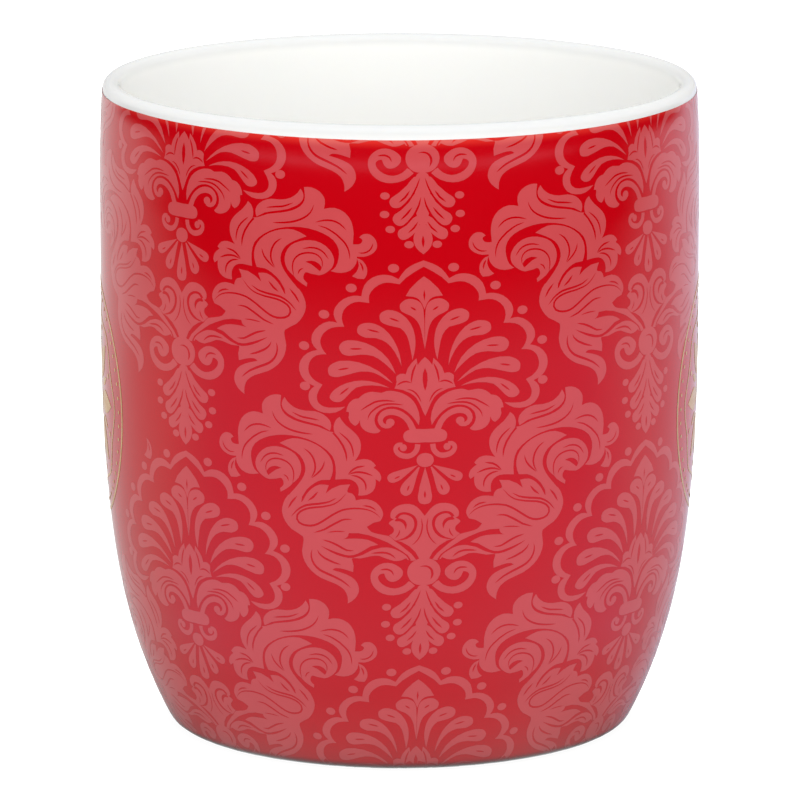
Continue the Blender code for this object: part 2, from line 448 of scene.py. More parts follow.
@dataclass
class Shape:
    """A surface in millimetres about the cup's axis.

    Attributes:
        points: one row of x, y and z for each point.
        faces: arrays of corner numbers, one row for each face.
        sheet: for each array of faces, the flat place of each corner, from 0 to 1, or None.
        normals: for each array of faces, the outward direction at each corner, or None.
    """

    points: np.ndarray
    faces: list[np.ndarray]
    sheet: Optional[list[np.ndarray]] = None
    normals: Optional[list[np.ndarray]] = None

    def volume(self) -> float:
        """The volume inside: the sum over triangles of a . (b x c) / 6.

        Returns:
            The volume in mm3, negative if the shape is inside out.
        """
        total = 0.0
        for faces in self.faces:
            for second in range(1, faces.shape[1] - 1):
                a, b, c = (self.points[faces[:, k]] for k in (0, second, second + 1))
                total += float(np.einsum("ij,ij->", a, np.cross(b, c))) / 6
        return total

    def outward(self) -> "Shape":
        """The same closed shape, its faces turned round if they point in.

        Returns:
            The shape, facing outwards.
        """
        if self.volume() >= 0:
            return self
        turned_faces = [faces[:, ::-1] for faces in self.faces]
        turned_sheet = [uv[:, ::-1] for uv in self.sheet] if self.sheet else None
        return Shape(self.points, turned_faces, turned_sheet, None)

    def joined(self, other: "Shape") -> "Shape":
        """This shape and another as one.

        Args:
            other: the other shape.

        Returns:
            Both in one shape.
        """
        shift = len(self.points)
        return Shape(
            np.vstack([self.points, other.points]),
            self.faces + [faces + shift for faces in other.faces],
            (self.sheet or []) + (other.sheet or []),
            (self.normals or []) + (other.normals or []),
        )

    def piece(
        self, name: str, finish: bpy.types.Material, slot: Slot, stands_for: Sequence[str] = ()
    ) -> bpy.types.Object:
        """Makes the shape a finished piece of the mug.

        Args:
            name: the piece's name.
            finish: its material.
            slot: the record's slot that it would take its finish from; not used.
            stands_for: the CAD nodes that it is shown for.

        Returns:
            The object, at the origin, with its place in its mesh.
        """
        mesh = bpy.data.meshes.new(name)
        placed = (self.points + np.array(AXIS_PLACE)) * MM
        corners = [row for faces in self.faces for row in faces.tolist()]
        mesh.from_pydata(placed.tolist(), [], corners)
        mesh.shade_smooth()
        if self.sheet:
            flat = np.concatenate([uv.reshape(-1, 2) for uv in self.sheet])
            layer = mesh.uv_layers.new(name="OFBake")
            layer.data.foreach_set("uv", flat.astype(np.float32).ravel())
        if self.normals:
            steady = np.concatenate([n.reshape(-1, 3) for n in self.normals])
            mesh.normals_split_custom_set(steady.tolist())
        else:
            self.weld(mesh)
        mesh.materials.append(finish)
        made = bpy.data.objects.new(name, mesh)
        bpy.context.collection.objects.link(made)
        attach(made, "root")
        if stands_for:
            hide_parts(*stands_for)
        triangles = sum(len(row) - 2 for row in corners)
        LOG.info("%s: %d points, %d triangles, %s", name, len(mesh.vertices), triangles, finish.name)
        return made

    @staticmethod
    def weld(mesh: bpy.types.Mesh) -> None:
        """Merges points that lie on one another, so that seams and poles are closed.

        Args:
            mesh: the mesh.
        """
        work = bmesh.new()
        work.from_mesh(mesh)
        bmesh.ops.remove_doubles(work, verts=work.verts, dist=1e-7)
        bmesh.ops.dissolve_degenerate(work, edges=work.edges, dist=1e-7)
        work.to_mesh(mesh)
        work.free()


def grid_faces(rows: int, columns: int, closed_rows: bool = False, closed_columns: bool = False) -> Arrays:
    """The quads of a grid of points, row by row.

    Args:
        rows: rows of points.
        columns: points in a row.
        closed_rows: the last row joins the first.
        closed_columns: each row's last point joins its first.

    Returns:
        The quads' corner numbers, and each corner's share (row, column) of the way over the grid.
    """
    row_count = rows if closed_rows else rows - 1
    column_count = columns if closed_columns else columns - 1
    i, j = (a.ravel() for a in np.meshgrid(np.arange(row_count), np.arange(column_count), indexing="ij"))
    at_row = np.stack([i, i, i + 1, i + 1], 1)
    at_column = np.stack([j, j + 1, j + 1, j], 1)
    faces = (at_row % rows) * columns + at_column % columns
    shares = np.stack([at_row / row_count, at_column / column_count], 2)
    return faces, shares


def turns(count: int) -> np.ndarray:
    """The angles of even steps once round."""
    return np.arange(count) * ROUND / count


def run_along(line: np.ndarray) -> np.ndarray:
    """How far along a line each of its points lies."""
    return np.concatenate([[0.0], np.cumsum(np.linalg.norm(np.diff(line, axis=0), axis=1))])


def arc(centre: Pair, radius: float, start: float, end: float, steps: int) -> np.ndarray:
    """Points (radius, height) at centre + radius * (cos a, sin a), for a from start to end."""
    a = np.linspace(start, end, steps + 1)
    return np.stack([centre[0] + radius * np.cos(a), centre[1] + radius * np.sin(a)], 1)


def eased(corners: Sequence[Pair], reach: float, steps: int = 5) -> np.ndarray:
    """A line through corners, each one but the ends rounded by a parabola that starts reach before it.

    Args:
        corners: the corner points.
        reach: how far before and after each corner the rounding runs.
        steps: spans in each rounding.

    Returns:
        The rounded line's points.
    """
    p = np.array(corners, float)
    before, after = p[:-2] - p[1:-1], p[2:] - p[1:-1]
    before *= reach / np.linalg.norm(before, axis=1)[:, None]
    after *= reach / np.linalg.norm(after, axis=1)[:, None]
    t = np.linspace(0, 1, steps + 1)[None, :, None]
    rounds = p[1:-1, None] + before[:, None] * (1 - t) ** 2 + after[:, None] * t**2
    return np.vstack([p[:1], rounds.reshape(-1, 2), p[-1:]])


def turned(profile: np.ndarray, steps: int, closed: bool = False) -> Shape:
    """A profile turned round the cup's axis: x = r sin a, y = -r cos a, z as in the profile.

    Args:
        profile: points (radius, height).
        steps: steps round the axis.
        closed: the profile's last point joins its first.

    Returns:
        The turned surface, facing outwards.
    """
    a = turns(steps)[:, None]
    r, z = profile[None, :, 0], profile[None, :, 1]
    points = np.stack([r * np.sin(a), -r * np.cos(a), z + 0 * a], 2).reshape(-1, 3)
    faces, shares = grid_faces(steps, len(profile), True, closed)
    run = run_along(profile)
    along = np.append(run, run[-1] + 1.0) / (run[-1] + 1.0)
    column = np.rint(shares[..., 1] * (len(profile) if closed else len(profile) - 1)).astype(int)
    sheet = np.stack([shares[..., 0], along[column]], 2)
    return Shape(points, [faces], [sheet]).outward()


@dataclass(frozen=True)
class WallLine:
    """One face of the cup's wall as a line of radius against height, in mm.

    Below the belly, r = belly - (belly - base) * s ** power, where s goes from 0 at the belly to 1 at the
    lowest point. Above it, r = belly - (belly - mouth) * s ** 2, where s goes from 0 to 1 at the lip.
    """

    belly: float  # the widest radius
    mouth: float  # the radius at the lip
    base: float  # the radius at the lowest point
    lowest: float  # the lowest point's height
    belly_height: float = 77.0
    height: float = 92.5
    power: float = 4.3  # how late the line turns in under the belly

    def radius(self, z: np.ndarray) -> np.ndarray:
        """The radius at each height."""
        low = np.clip((self.belly_height - z) / (self.belly_height - self.lowest), 0, None)
        high = np.clip((z - self.belly_height) / (self.height - self.belly_height), 0, None)
        return self.belly - (self.belly - self.base) * low**self.power - (self.belly - self.mouth) * high**2

    def lean(self, z: np.ndarray) -> np.ndarray:
        """The angle by which the outward normal points below level: atan of the radius's slope.

        Args:
            z: the heights.

        Returns:
            The angle at each height.
        """
        drop, rise = self.belly_height - self.lowest, self.height - self.belly_height
        low = np.clip((self.belly_height - z) / drop, 0, None)
        high = np.clip((z - self.belly_height) / rise, 0, None)
        slope = (self.belly - self.base) * self.power / drop * low ** (self.power - 1)
        return np.arctan(slope - 2 * (self.belly - self.mouth) / rise * high)

    def point(self, z: np.ndarray, lift: float = 0.0) -> np.ndarray:
        """Points (radius, height) moved out from the line along its normal by lift."""
        lean = self.lean(z)
        return np.stack([self.radius(z) + lift * np.cos(lean), z - lift * np.sin(lean)], -1)

    def corner(self, fillet: float) -> tuple[float, Pair, float]:
        """The arc that rounds the wall into the level at its base.

        Args:
            fillet: the arc's radius.

        Returns:
            The height where the arc leaves the wall, its centre, and the wall's lean there.
        """
        z = self.lowest + fillet
        for _ in range(60):
            z = self.lowest + fillet * (1 - np.sin(self.lean(np.float64(z))))
        centre = self.point(np.float64(z), -fillet)
        return float(z), (float(centre[0]), float(centre[1])), float(self.lean(np.float64(z)))


OUTSIDE = WallLine(belly=42.5, mouth=42.0, base=32.65, lowest=0.0)
INSIDE = WallLine(belly=39.6, mouth=39.6, base=31.0, lowest=5.2)
HEEL_ROUND = 2.1  # mm, the arc from the outer wall to the foot
PRINT_START = 91.0  # mm above the table, a little over the print's upper edge
APEX_HEIGHT = 74.17  # mm above the table, where the figure nearest the front has its apex


def printed_line() -> tuple[np.ndarray, np.ndarray, np.ndarray]:
    """The line down the outside that the transfer is laid on, round the heel as well.

    Returns:
        The run along the line, 0 at the apex of the figure nearest the front, then points (radius,
        height), then normals.
    """
    heel_height, centre, lean = OUTSIDE.corner(HEEL_ROUND)
    z = np.linspace(PRINT_START, heel_height, 1600)
    wall = OUTSIDE.point(z)
    wall_lean = OUTSIDE.lean(z)
    heel = arc(centre, HEEL_ROUND, -lean, -np.pi / 2, 60)[1:]
    points = np.vstack([wall, heel])
    normals = np.vstack([np.stack([np.cos(wall_lean), -np.sin(wall_lean)], 1), (heel - centre) / HEEL_ROUND])
    run = run_along(points)
    return run - np.interp(-APEX_HEIGHT, -z, run[: len(z)]), points, normals


@dataclass
class Transfer:
    """Lays flat printed figures on the wall, as a wet transfer sheet is laid.

    A flat place u, v in mm goes to the angle centre + u / belly from the front and to the run v down the
    wall's line, so widths are true at the belly and heights are true everywhere. A hand then leaves the
    sheet a little uneven.
    """

    belly: float = OUTSIDE.belly  # mm, the radius at which widths are true
    top: float = 90.65  # mm above the table
    foot: float = 0.07  # mm above the table, where the print ends
    bay: float = np.radians(16.875)  # half the bare gap behind the handle, as an angle
    line: tuple[np.ndarray, np.ndarray, np.ndarray] = field(default_factory=printed_line)

    def run_at(self, height: float) -> float:
        """The run down the line at a height."""
        run, points, _ = self.line
        return float(np.interp(-height, -points[:, 1], run))

    def slid(self, angle: np.ndarray, run: np.ndarray) -> Arrays:
        """How far the wet sheet was slid, in mm: to the right, and up.

        Left of the front the sheet swings by half a millimetre over a height of 60 mm. Near the lip it is
        drawn to the left by 0.25 + 0.7 sin a, near the foot by 0.65 - 0.15 sin a, and everywhere by
        0.1 tan a. Right of the front it lies 0.37 further right, with 0.2 more near the foot and 0.25 less
        at mid height, and at the upper left 0.25 further right. It sits 0.22 low on the left and as much
        high on the right, and near the lip it is pulled up at the sides by 0.5 sin^2 a instead.

        Args:
            angle: the angle from the front.
            run: the run down the wall's line.

        Returns:
            The slide to the right, and the slide up, which dies out over the last 6 mm.
        """
        height = np.interp(run, self.line[0], self.line[1][:, 1])
        side = np.sin(angle)
        swing = np.exp(-(((angle + 0.47) / 0.42) ** 2)) * np.sin(ROUND * (61.0 - height) / 60.0)
        low = rises(-height, -32.0, -8.0)
        lip = rises(height, 66.0, 86.0)
        right = 0.5 * swing - lip * (0.25 + 0.7 * side) - low * (0.65 - 0.15 * side)
        share = 0.37 + 0.2 * low - 0.25 * np.exp(-(((height - 42.0) / 12.0) ** 2))
        right += share * np.exp(-(((angle - 0.7) / 0.45) ** 2))
        right += 0.25 * np.exp(-(((angle + 0.95) / 0.35) ** 2) - ((height - 79.0) / 11.0) ** 2)
        right -= 0.1 * np.tan(np.clip(angle, -1.25, 1.25))
        high = rises(height, 58.0, 80.0)
        tilt = 0.22 * np.tanh(2.5 * np.sin(angle - 0.1))
        up = high * (0.5 * side**2 - 0.03) + (1 - high) * tilt
        return right, up * np.clip((self.run_at(self.foot) - run) / 6.0, 0, 1)

    def laid(self, flat: np.ndarray, faces: np.ndarray, centre: float, lift: Lift) -> Shape:
        """A flat figure as a thin closed coat on the wall.

        Args:
            flat: points (u, v).
            faces: triangles or quads, clockwise as seen with v upwards.
            centre: the angle from the front that u = 0 comes to.
            lift: which coat it is.

        Returns:
            The coat: its face, its back and the walls between their edges.
        """
        run, line_points, line_normals = self.line
        angle = centre + flat[:, 0] / self.belly
        right, up = self.slid(angle, flat[:, 1])
        angle = angle + right / self.belly
        across = np.stack([np.sin(angle), -np.cos(angle)], 1)
        r, z, level, down = (
            np.interp(flat[:, 1] - up, run, values)
            for values in (line_points[:, 0], line_points[:, 1], line_normals[:, 0], line_normals[:, 1])
        )
        outward = np.column_stack([across * level[:, None], down])
        outward /= np.linalg.norm(outward, axis=1)[:, None]
        face = np.column_stack([across * r[:, None], z]) + lift.value * outward
        count = len(face)
        sides = np.stack([faces, np.roll(faces, -1, 1)], 2).reshape(-1, 2)
        there, back = sides[:, 0] * count + sides[:, 1], sides[:, 1] * count + sides[:, 0]
        rim = sides[~np.isin(there, back)]
        walls = np.stack([rim[:, 1], rim[:, 0], rim[:, 0] + count, rim[:, 1] + count], 1)
        place = (flat - flat.min(0)) / np.ptp(flat, axis=0).max()
        return Shape(
            np.vstack([face, face - DEPTH[lift] * outward]),
            [faces, faces[:, ::-1] + count, walls],
            [place[faces], place[faces[:, ::-1]], place[walls % count]],
            [outward[faces], -outward[faces[:, ::-1]], outward[walls % count]],
        )


@dataclass
class Drawing:
    """Flat figures in mm, u to the right and v down, painted one over another.

    A figure is written as points "u v, u v"; the line through them is smooth, and a bar starts a new span
    at a corner.
    """

    turn_step: float = np.radians(16.0)  # the most that a line turns from point to point
    length_step: float = 1.6  # mm, the most that its points lie apart
    stroke_step: float = 0.6  # mm, the same for a pen stroke
    rings: list[tuple[Ink, np.ndarray]] = field(default_factory=list)

    def smooth(self, p: np.ndarray) -> np.ndarray:
        """A smooth line through points: cubic spans whose end slopes are the chord-weighted means of the
        neighbouring spans' slopes, cut finer where they turn more.

        Args:
            p: the points.

        Returns:
            The line's points, the given ones among them.
        """
        if len(p) < 3:
            return p
        chord = np.sqrt(np.linalg.norm(np.diff(p, axis=0), axis=1))[:, None]
        slope = np.diff(p, axis=0) / chord
        m = np.empty_like(p)
        m[1:-1] = (chord[1:] * slope[:-1] + chord[:-1] * slope[1:]) / (chord[:-1] + chord[1:])
        m[0] = 1.5 * slope[0] - 0.5 * m[1]
        m[-1] = 1.5 * slope[-1] - 0.5 * m[-2]
        spans = []
        for a, b, u, v, h in zip(p[:-1], p[1:], m[:-1], m[1:], chord[:, 0]):
            turn = np.arccos(np.clip(u @ v / (np.linalg.norm(u) * np.linalg.norm(v) + 1e-12), -1, 1))
            count = int(max(1, np.ceil(turn / self.turn_step), np.ceil(h * h / self.length_step)))
            s = np.arange(count)[:, None] / count
            spans.append(
                (2 * s**3 - 3 * s**2 + 1) * a
                + (s**3 - 2 * s**2 + s) * h * u
                + (3 * s**2 - 2 * s**3) * b
                + (s**3 - s**2) * h * v
            )
        return np.vstack(spans + [p[-1:]])

    def outline(self, text: str) -> np.ndarray:
        """The points of a written line, smooth within each span.

        Args:
            text: the line as the class says.

        Returns:
            Its points.
        """
        line = np.empty((0, 2))
        for span in text.split("|"):
            knots = np.array([pair.split() for pair in span.split(",")], float)
            line = np.vstack([line[:-1], self.smooth(np.vstack([line[-1:], knots]))])
        return line

    def stroke(self, text: str, width: float, head: float = 0.0, tail: float = 0.0) -> np.ndarray:
        """A pen stroke along a written line: its width is width * 2 sqrt(s (1 - s)) over the share s of its
        length, and no less than the shares head and tail of it at its ends.

        Args:
            text: the line.
            width: the greatest width.
            head: the share of the width kept at the start.
            tail: the share kept at the end.

        Returns:
            The stroke's outline.
        """
        line = self.outline(text)
        run = run_along(line)
        count = max(5, int(np.ceil(run[-1] / self.stroke_step)) + 1, len(line))
        t = np.linspace(0, run[-1], count)
        middle = np.stack([np.interp(t, run, line[:, k]) for k in (0, 1)], 1)
        along = np.gradient(middle, axis=0)
        along /= np.linalg.norm(along, axis=1)[:, None]
        across = np.stack([-along[:, 1], along[:, 0]], 1)
        s = t / run[-1]
        swell = np.maximum(2 * np.sqrt(s * (1 - s)), head * (1 - s) + tail * s)
        half = np.maximum(width / 2 * swell, 0.01)[:, None]
        return np.vstack([middle + across * half, (middle - across * half)[::-1]])

    def twice(self, ink: Ink, ring: np.ndarray) -> None:
        """Paints a figure and its mirror image."""
        self.rings += [(ink, ring), (ink, ring * (-1, 1))]

    def across_axis(self, ink: Ink, half: np.ndarray) -> None:
        """Paints a figure whose right half is given."""
        self.rings.append((ink, np.vstack([half, half[::-1] * (-1, 1)])))

    def leaf(self, text: str) -> None:
        """A light figure and its mirror image."""
        self.twice(Ink.LIGHT, self.outline(text))

    def middle(self, text: str) -> None:
        """A light figure on the axis."""
        self.across_axis(Ink.LIGHT, self.outline(text))

    def gap(self, text: str) -> None:
        """A hole through which the ground shows, and its mirror image."""
        self.twice(Ink.GROUND, self.outline(text))

    def middle_gap(self, text: str) -> None:
        """A hole on the axis."""
        self.across_axis(Ink.GROUND, self.outline(text))

    def lone_gap(self, text: str) -> None:
        """A hole without a mirror image."""
        self.rings.append((Ink.GROUND, self.outline(text)))

    def vein(self, text: str, width: float = 0.34, head: float = 0.0, tail: float = 0.0) -> None:
        """A tapered line of ground colour, and its mirror image."""
        self.twice(Ink.GROUND, self.stroke(text, width, head, tail))

    def rib(self, text: str, width: float, head: float = 0.0, tail: float = 0.0) -> None:
        """A tapered light line, and its mirror image."""
        self.twice(Ink.LIGHT, self.stroke(text, width, head, tail))

    def bead(self, u: float, v: float, wide: float = 0.75, high: float = 0.6) -> None:
        """An oval dot, and its mirror image."""
        a = turns(16)
        self.twice(Ink.LIGHT, np.stack([u + wide * np.cos(a), v + high * np.sin(a)], 1))

    @staticmethod
    def inside(points: np.ndarray, ring: np.ndarray) -> np.ndarray:
        """Which points a ring winds round: it crosses the level line to their right, up less down.

        Args:
            points: the points.
            ring: the ring's corners.

        Returns:
            True for each point inside.
        """
        a, b = ring, np.roll(ring, -1, 0)
        u, v = points[:, :1], points[:, 1:]
        rise = np.where(b[:, 1] == a[:, 1], 1.0, b[:, 1] - a[:, 1])
        crossing = a[:, 0] + (v - a[:, 1]) * (b[:, 0] - a[:, 0]) / rise
        passes = ((a[:, 1] > v) != (b[:, 1] > v)) & (u < crossing)
        return (passes * np.sign(rise)).sum(1) != 0

    def cut_out(self, cell: float) -> Arrays:
        """The light parts of the sheet as triangles.

        Every ring and a net of straight lines are made edges of one triangulation, and a triangle is light
        if the last ring painted round its middle is.

        Args:
            cell: spacing of the net, which lets the sheet bend round the wall.

        Returns:
            Points (u, v) and triangles, clockwise as seen with v upwards.
        """
        rings = [ring for _, ring in self.rings]
        points = np.vstack(rings)
        sizes = [len(ring) for ring in rings]
        starts = np.cumsum([0] + sizes[:-1])
        edges = [np.stack([np.arange(n), (np.arange(n) + 1) % n], 1) + s for s, n in zip(starts, sizes)]
        low, high = points.min(0) - 1.0, points.max(0) + 1.0
        for k in (0, 1):
            places = np.arange(low[k] + cell / 3, high[k], cell)
            ends = np.empty((len(places), 2, 2))
            ends[:, :, k] = places[:, None]
            ends[:, :, 1 - k] = low[1 - k], high[1 - k]
            edges.append(np.arange(2 * len(places)).reshape(-1, 2) + len(points))
            points = np.vstack([points, ends.reshape(-1, 2)])
        knots = [Vector(p) for p in points.tolist()]
        result = delaunay_2d_cdt(knots, np.vstack(edges).tolist(), [], 0, 1e-5)
        flat = np.array([tuple(p) for p in result[0]])
        triangles = np.array(result[2])
        middles = flat[triangles].mean(1)
        light = np.zeros(len(triangles), bool)
        for ink, ring in self.rings:
            near = ((middles > ring.min(0)) & (middles < ring.max(0))).all(1).nonzero()[0]
            light[near[self.inside(middles[near], ring)]] = ink is Ink.LIGHT
        return clockwise(*compact(flat, triangles[light]))


def parts_of(triangles: np.ndarray, count: int) -> np.ndarray:
    """Which connected part of a drawing each point belongs to.

    Each triangle's corners take the lowest number among them, over and over, until nothing changes.

    Args:
        triangles: the drawing's triangles.
        count: how many points it has.

    Returns:
        For each point, the lowest point number in its part.
    """
    label = np.arange(count)
    while True:
        low = label[triangles].min(1)
        new = label.copy()
        for corner in range(3):
            np.minimum.at(new, triangles[:, corner], low)
        new = new[new]
        if (new == label).all():
            return label
        label = new


def compact(flat: np.ndarray, faces: np.ndarray) -> Arrays:
    """Points that faces use, and the faces renumbered to them."""
    used, corners = np.unique(faces, return_inverse=True)
    return flat[used], corners.reshape(faces.shape)


def clockwise(flat: np.ndarray, triangles: np.ndarray) -> Arrays:
    """The triangles all turned the same way, so that they face outwards on the wall.

    Args:
        flat: points (u, v).
        triangles: the triangles, turned either way.

    Returns:
        The points, and the triangles clockwise as seen with v upwards, without those of no area.
    """
    a, b, c = (flat[triangles[:, k]] for k in range(3))
    area = (b - a)[:, 0] * (c - a)[:, 1] - (b - a)[:, 1] * (c - a)[:, 0]
    triangles = triangles[np.abs(area) > 1e-7]
    area = area[np.abs(area) > 1e-7]
    return flat, np.where((area > 0)[:, None], triangles[:, ::-1], triangles)


def trimmed(flat: np.ndarray, triangles: np.ndarray, low: Pair, high: Pair) -> Arrays:
    """A flat figure cut off straight outside a rectangle.

    Args:
        flat: points (u, v).
        triangles: the figure's triangles.
        low: the rectangle's least u and v.
        high: its greatest.

    Returns:
        The points and triangles inside.
    """
    mesh = bpy.data.meshes.new("sheet")
    mesh.from_pydata(np.column_stack([flat, np.zeros(len(flat))]).tolist(), [], triangles.tolist())
    work = bmesh.new()
    work.from_mesh(mesh)
    for axis in (0, 1):
        for limit, side in ((low[axis], -1.0), (high[axis], 1.0)):
            place, normal = [0.0, 0.0, 0.0], [0.0, 0.0, 0.0]
            place[axis], normal[axis] = limit, side
            bmesh.ops.bisect_plane(
                work,
                geom=work.verts[:] + work.edges[:] + work.faces[:],
                dist=1e-6,
                plane_co=place,
                plane_no=normal,
                clear_outer=True,
            )
    bmesh.ops.triangulate(work, faces=work.faces)
    work.to_mesh(mesh)
    work.free()
    kept = np.empty(len(mesh.vertices) * 3)
    mesh.vertices.foreach_get("co", kept)
    corners = np.empty(len(mesh.loops), int)
    mesh.loops.foreach_get("vertex_index", corners)
    bpy.data.meshes.remove(mesh)
    return clockwise(*compact(kept.reshape(-1, 3)[:, :2], corners.reshape(-1, 3)))


@dataclass
class Damask:
    """One figure of the damask, drawn with its apex at 0, 0, in the order that it is painted."""

    pen: Drawing = field(default_factory=Drawing)

    def drawn(self) -> Drawing:
        """The whole figure.

        Returns:
            The pen, with every part painted.
        """
        self.lobed_frame()
        self.apex_leaf()
        self.petals()
        self.crown_bud()
        self.volutes()
        self.drops()
        self.upper_acanthus()
        self.rosette()
        self.lower_acanthus()
        self.plume()
        self.spirals()
        self.pendant()
        return self.pen

    def lobed_frame(self) -> None:
        """The chain of five scalloped lobes on either side, with a bead in each fork."""
        pen = self.pen
        pen.middle(
            "0 0, 1.2 .45, 2.4 1.2, 3.4 2.55 | 4.3 2.1, 5.5 1.95, 6.9 2.35, 8 3.4, 8.45 4.95 | "
            "9.5 4.9, 10.9 5.4, 12 6.5, 12.3 7.6, 11.85 8.7 | 13 8.55, 14.4 9.2, 15.4 10.4, "
            "15.5 11.6, 14.8 12.55 | 16.2 13.05, 17.3 14.2, 17.5 15.6, 16.8 16.9, 15.4 17.6 | "
            "16.2 18.4, 16.3 19.6, 15.6 20.7, 14.2 21.25, 12.5 21.15, 11.1 20.3 | 12.8 20.5, "
            "14.2 20.4, 15 19.8, 15.1 18.8, 14.25 17.35 | 15.2 16.9, 16 16.1, 16.2 15.2, 15.8 14, "
            "14.9 13.3, 13.5 13.1 | 14.1 12.3, 14.3 11.2, 13.7 10.1, 12.6 9.4, 10.9 9.2 | 11.2 8.1, "
            "10.9 6.9, 9.9 6, 8.8 5.7, 7.4 5.85 | 7.4 4.8, 6.7 3.8, 5.5 3.1, 4.4 3.05, 3.3 3.25 | "
            "2.4 2.35, 1.3 1.6, 0 .85"
        )
        for u, v in ((4.05, 1.05), (9.8, 3.85), (13.65, 7.6), (16.65, 12.05), (16.8, 17.65)):
            pen.bead(u, v)

    def apex_leaf(self) -> None:
        """The pointed leaf and the teardrop under the apex."""
        pen = self.pen
        pen.middle("0 2.2, .8 2.8, 1.9 3.9, 2.5 4.9 | 1.5 5, .7 5.4, 0 6.8")
        pen.middle_gap("0 4, .15 4.8, 0 5.6")
        pen.leaf(
            ".05 8.3, .15 6.8, .5 5.9, 1.3 5.4, 2.4 5.35, 3.3 6.1, 3.1 7, 1.9 7.6, 1 8.4, .5 9.6, "
            ".25 11, 0 12.3"
        )
        pen.vein("1.1 6.9, 1.9 6.4", .25)

    def petals(self) -> None:
        """Five curled petals on either side, fanned round the bud."""
        pen = self.pen
        pen.leaf(
            "1.7 13.8, 1.3 12, 1.35 10.3, 1.9 8.7, 3.2 7.3, 4.9 6.8, 6 7.4, 5.9 8.4, 4.8 8.95, "
            "3.3 9.3, 2.4 10.4, 2 12, 1.7 13.8"
        )
        pen.vein("3.4 8.4, 4.8 7.9", .25)
        pen.leaf(
            "3.2 14.6, 3.45 12.9, 4.2 11, 5.5 9.4, 7.3 8.6, 8.9 9, 9.1 10, 8 10.65, 6.6 10.7, "
            "5.2 11.3, 4.1 12.6, 3.2 14.6"
        )
        pen.vein("6.1 9.9, 7.8 9.5", .25)
        pen.leaf(
            "4 15.7, 5 13.6, 6.9 11.9, 9.2 11.1, 11 11.2, 11.7 12, 11.3 12.95, 10.3 13.2, 8.7 13, "
            "7 13.2, 5.5 14.2, 4 15.7"
        )
        pen.vein("8.5 12.2, 10.3 12.25", .25)
        pen.leaf(
            "4.4 17, 6.3 15.3, 9 14.1, 11.7 13.95, 13.3 14.9, 13.2 16, 12 16.2, 10.5 15.8, 8.8 15.35, "
            "7 15.5, 5.4 16.4, 4.4 17"
        )
        pen.vein("10.4 14.9, 12 15.2", .25)
        pen.leaf(
            "4.9 17.6, 6.6 16.9, 8.7 16.6, 10.8 17, 12.6 18, 13.3 19.1, 12.7 19.65, 11.7 19.6, "
            "10.7 18.7, 9.5 17.6, 7.3 17.25, 4.9 17.6"
        )
        pen.vein("10.5 17.6, 11.9 18.7", .25)

    def crown_bud(self) -> None:
        """The split bud at the heart of the fan."""
        pen = self.pen
        pen.middle(
            "0 13.4, .5 13.85, 1 14.5 | 1.15 13.55 | 1.8 14.15, 2.35 14.9, 2.65 15.75 | 3.3 15.65, "
            "3.95 16.1, 3.9 16.8, 4.2 17.7 | 3.1 17.9, 2 18.4, 1.2 19.1, .7 20, .3 21, 0 21.6"
        )
        pen.vein("1.15 14.2, 1.6 15.2, 1.85 16.2, 1.9 17", .28)
        pen.vein("1.9 16.95, 2.6 16.75, 3.2 16.85, 3.9 17.3", .25)
        pen.vein(".55 19.7, 1.1 18.6, 1.8 18, 2.5 17.85", .22)
        pen.middle_gap("0 14.9, .3 15.7, .34 16.6, .22 17.5, 0 18.1")

    def volutes(self) -> None:
        """The scrolled volutes, their tie band and the small scrolls below it."""
        pen = self.pen
        pen.leaf(
            ".9 22.9, .75 22, .9 21, 1.3 20, 2 19.1, 3.1 18.4, 4.3 18.05, 5.3 18.05, 6 18.3 | "
            "7.3 18.15, 8.4 18.45, 9.2 19.1 | 10 19.3, 10.7 20, 11 21 | 10.6 21.1, 10.7 21.8, "
            "10.4 22.5, 9.8 22.95 | 9.4 22.7, 9.1 22.1 | 9 22.9, 8.4 23.6, 7.4 23.95, 6.6 23.9, "
            "6.2 23.6 | 6.8 23, 7.05 22.2, 6.75 21.2, 5.8 20.45, 4.5 20.2, 3.1 20.55, 1.9 21.5, "
            ".9 22.9"
        )
        pen.vein("4.1 19.5, 5.5 19.35, 7 19.6, 8 20.15, 9 20.8", .26)
        pen.vein("3 20, 4.4 19.85, 6 20, 7.1 20.65, 7.8 21.4, 8 22.1", .26)
        pen.rib(
            "1.65 23.6, 2.2 22.4, 3.2 21.4, 4.5 20.95, 5.7 21.2, 6.25 22, 6 22.75, 5.3 23, 4.75 22.8",
            .85, 1, .7,
        )
        pen.bead(4.85, 22.45, .6, .55)
        pen.middle("0 23.45, 2.2 23.5, 2.9 23.9, 3.05 24.5, 2.8 25.05, 2 25.3, 0 25.3")
        pen.rib(
            "1.05 25.55, 1.2 26.35, 1.85 27.05, 2.8 27.2, 3.8 26.8, 4.15 26.1, 3.8 25.6, 3.2 25.6",
            .75, 1, .8,
        )
        pen.bead(3.05, 26.0, .5, .5)

    def drops(self) -> None:
        """A ball and the drops that fan out below it."""
        pen = self.pen
        pen.middle("0 26.8, .75 27, 1.15 27.5, 1.15 28.1, .75 28.6, 0 28.8")
        pen.middle("0 28.8, .35 30, .75 31.5, 1 32.9, .75 33.8, 0 34.05")
        pen.middle_gap("0 32.1, .16 32.7, 0 33.2")
        pen.leaf(
            ".75 28.8, 1.2 30.2, 1.6 31.7, 2 32.5, 2.7 32.8, 3.35 32.4, 3.45 31.7, 2.9 30.8, "
            "1.9 29.8, .95 28.75"
        )
        pen.vein("2.2 31.3, 2.5 32.1", .22)
        pen.leaf(
            "1.05 28.5, 2.4 28.85, 4 29.3, 5 29.7, 5.3 30.2, 5 30.8, 4.3 30.9, 3.3 30.4, 2.1 29.4, "
            "1.05 28.5"
        )
        pen.vein("3.5 30, 4.3 30.35", .22)

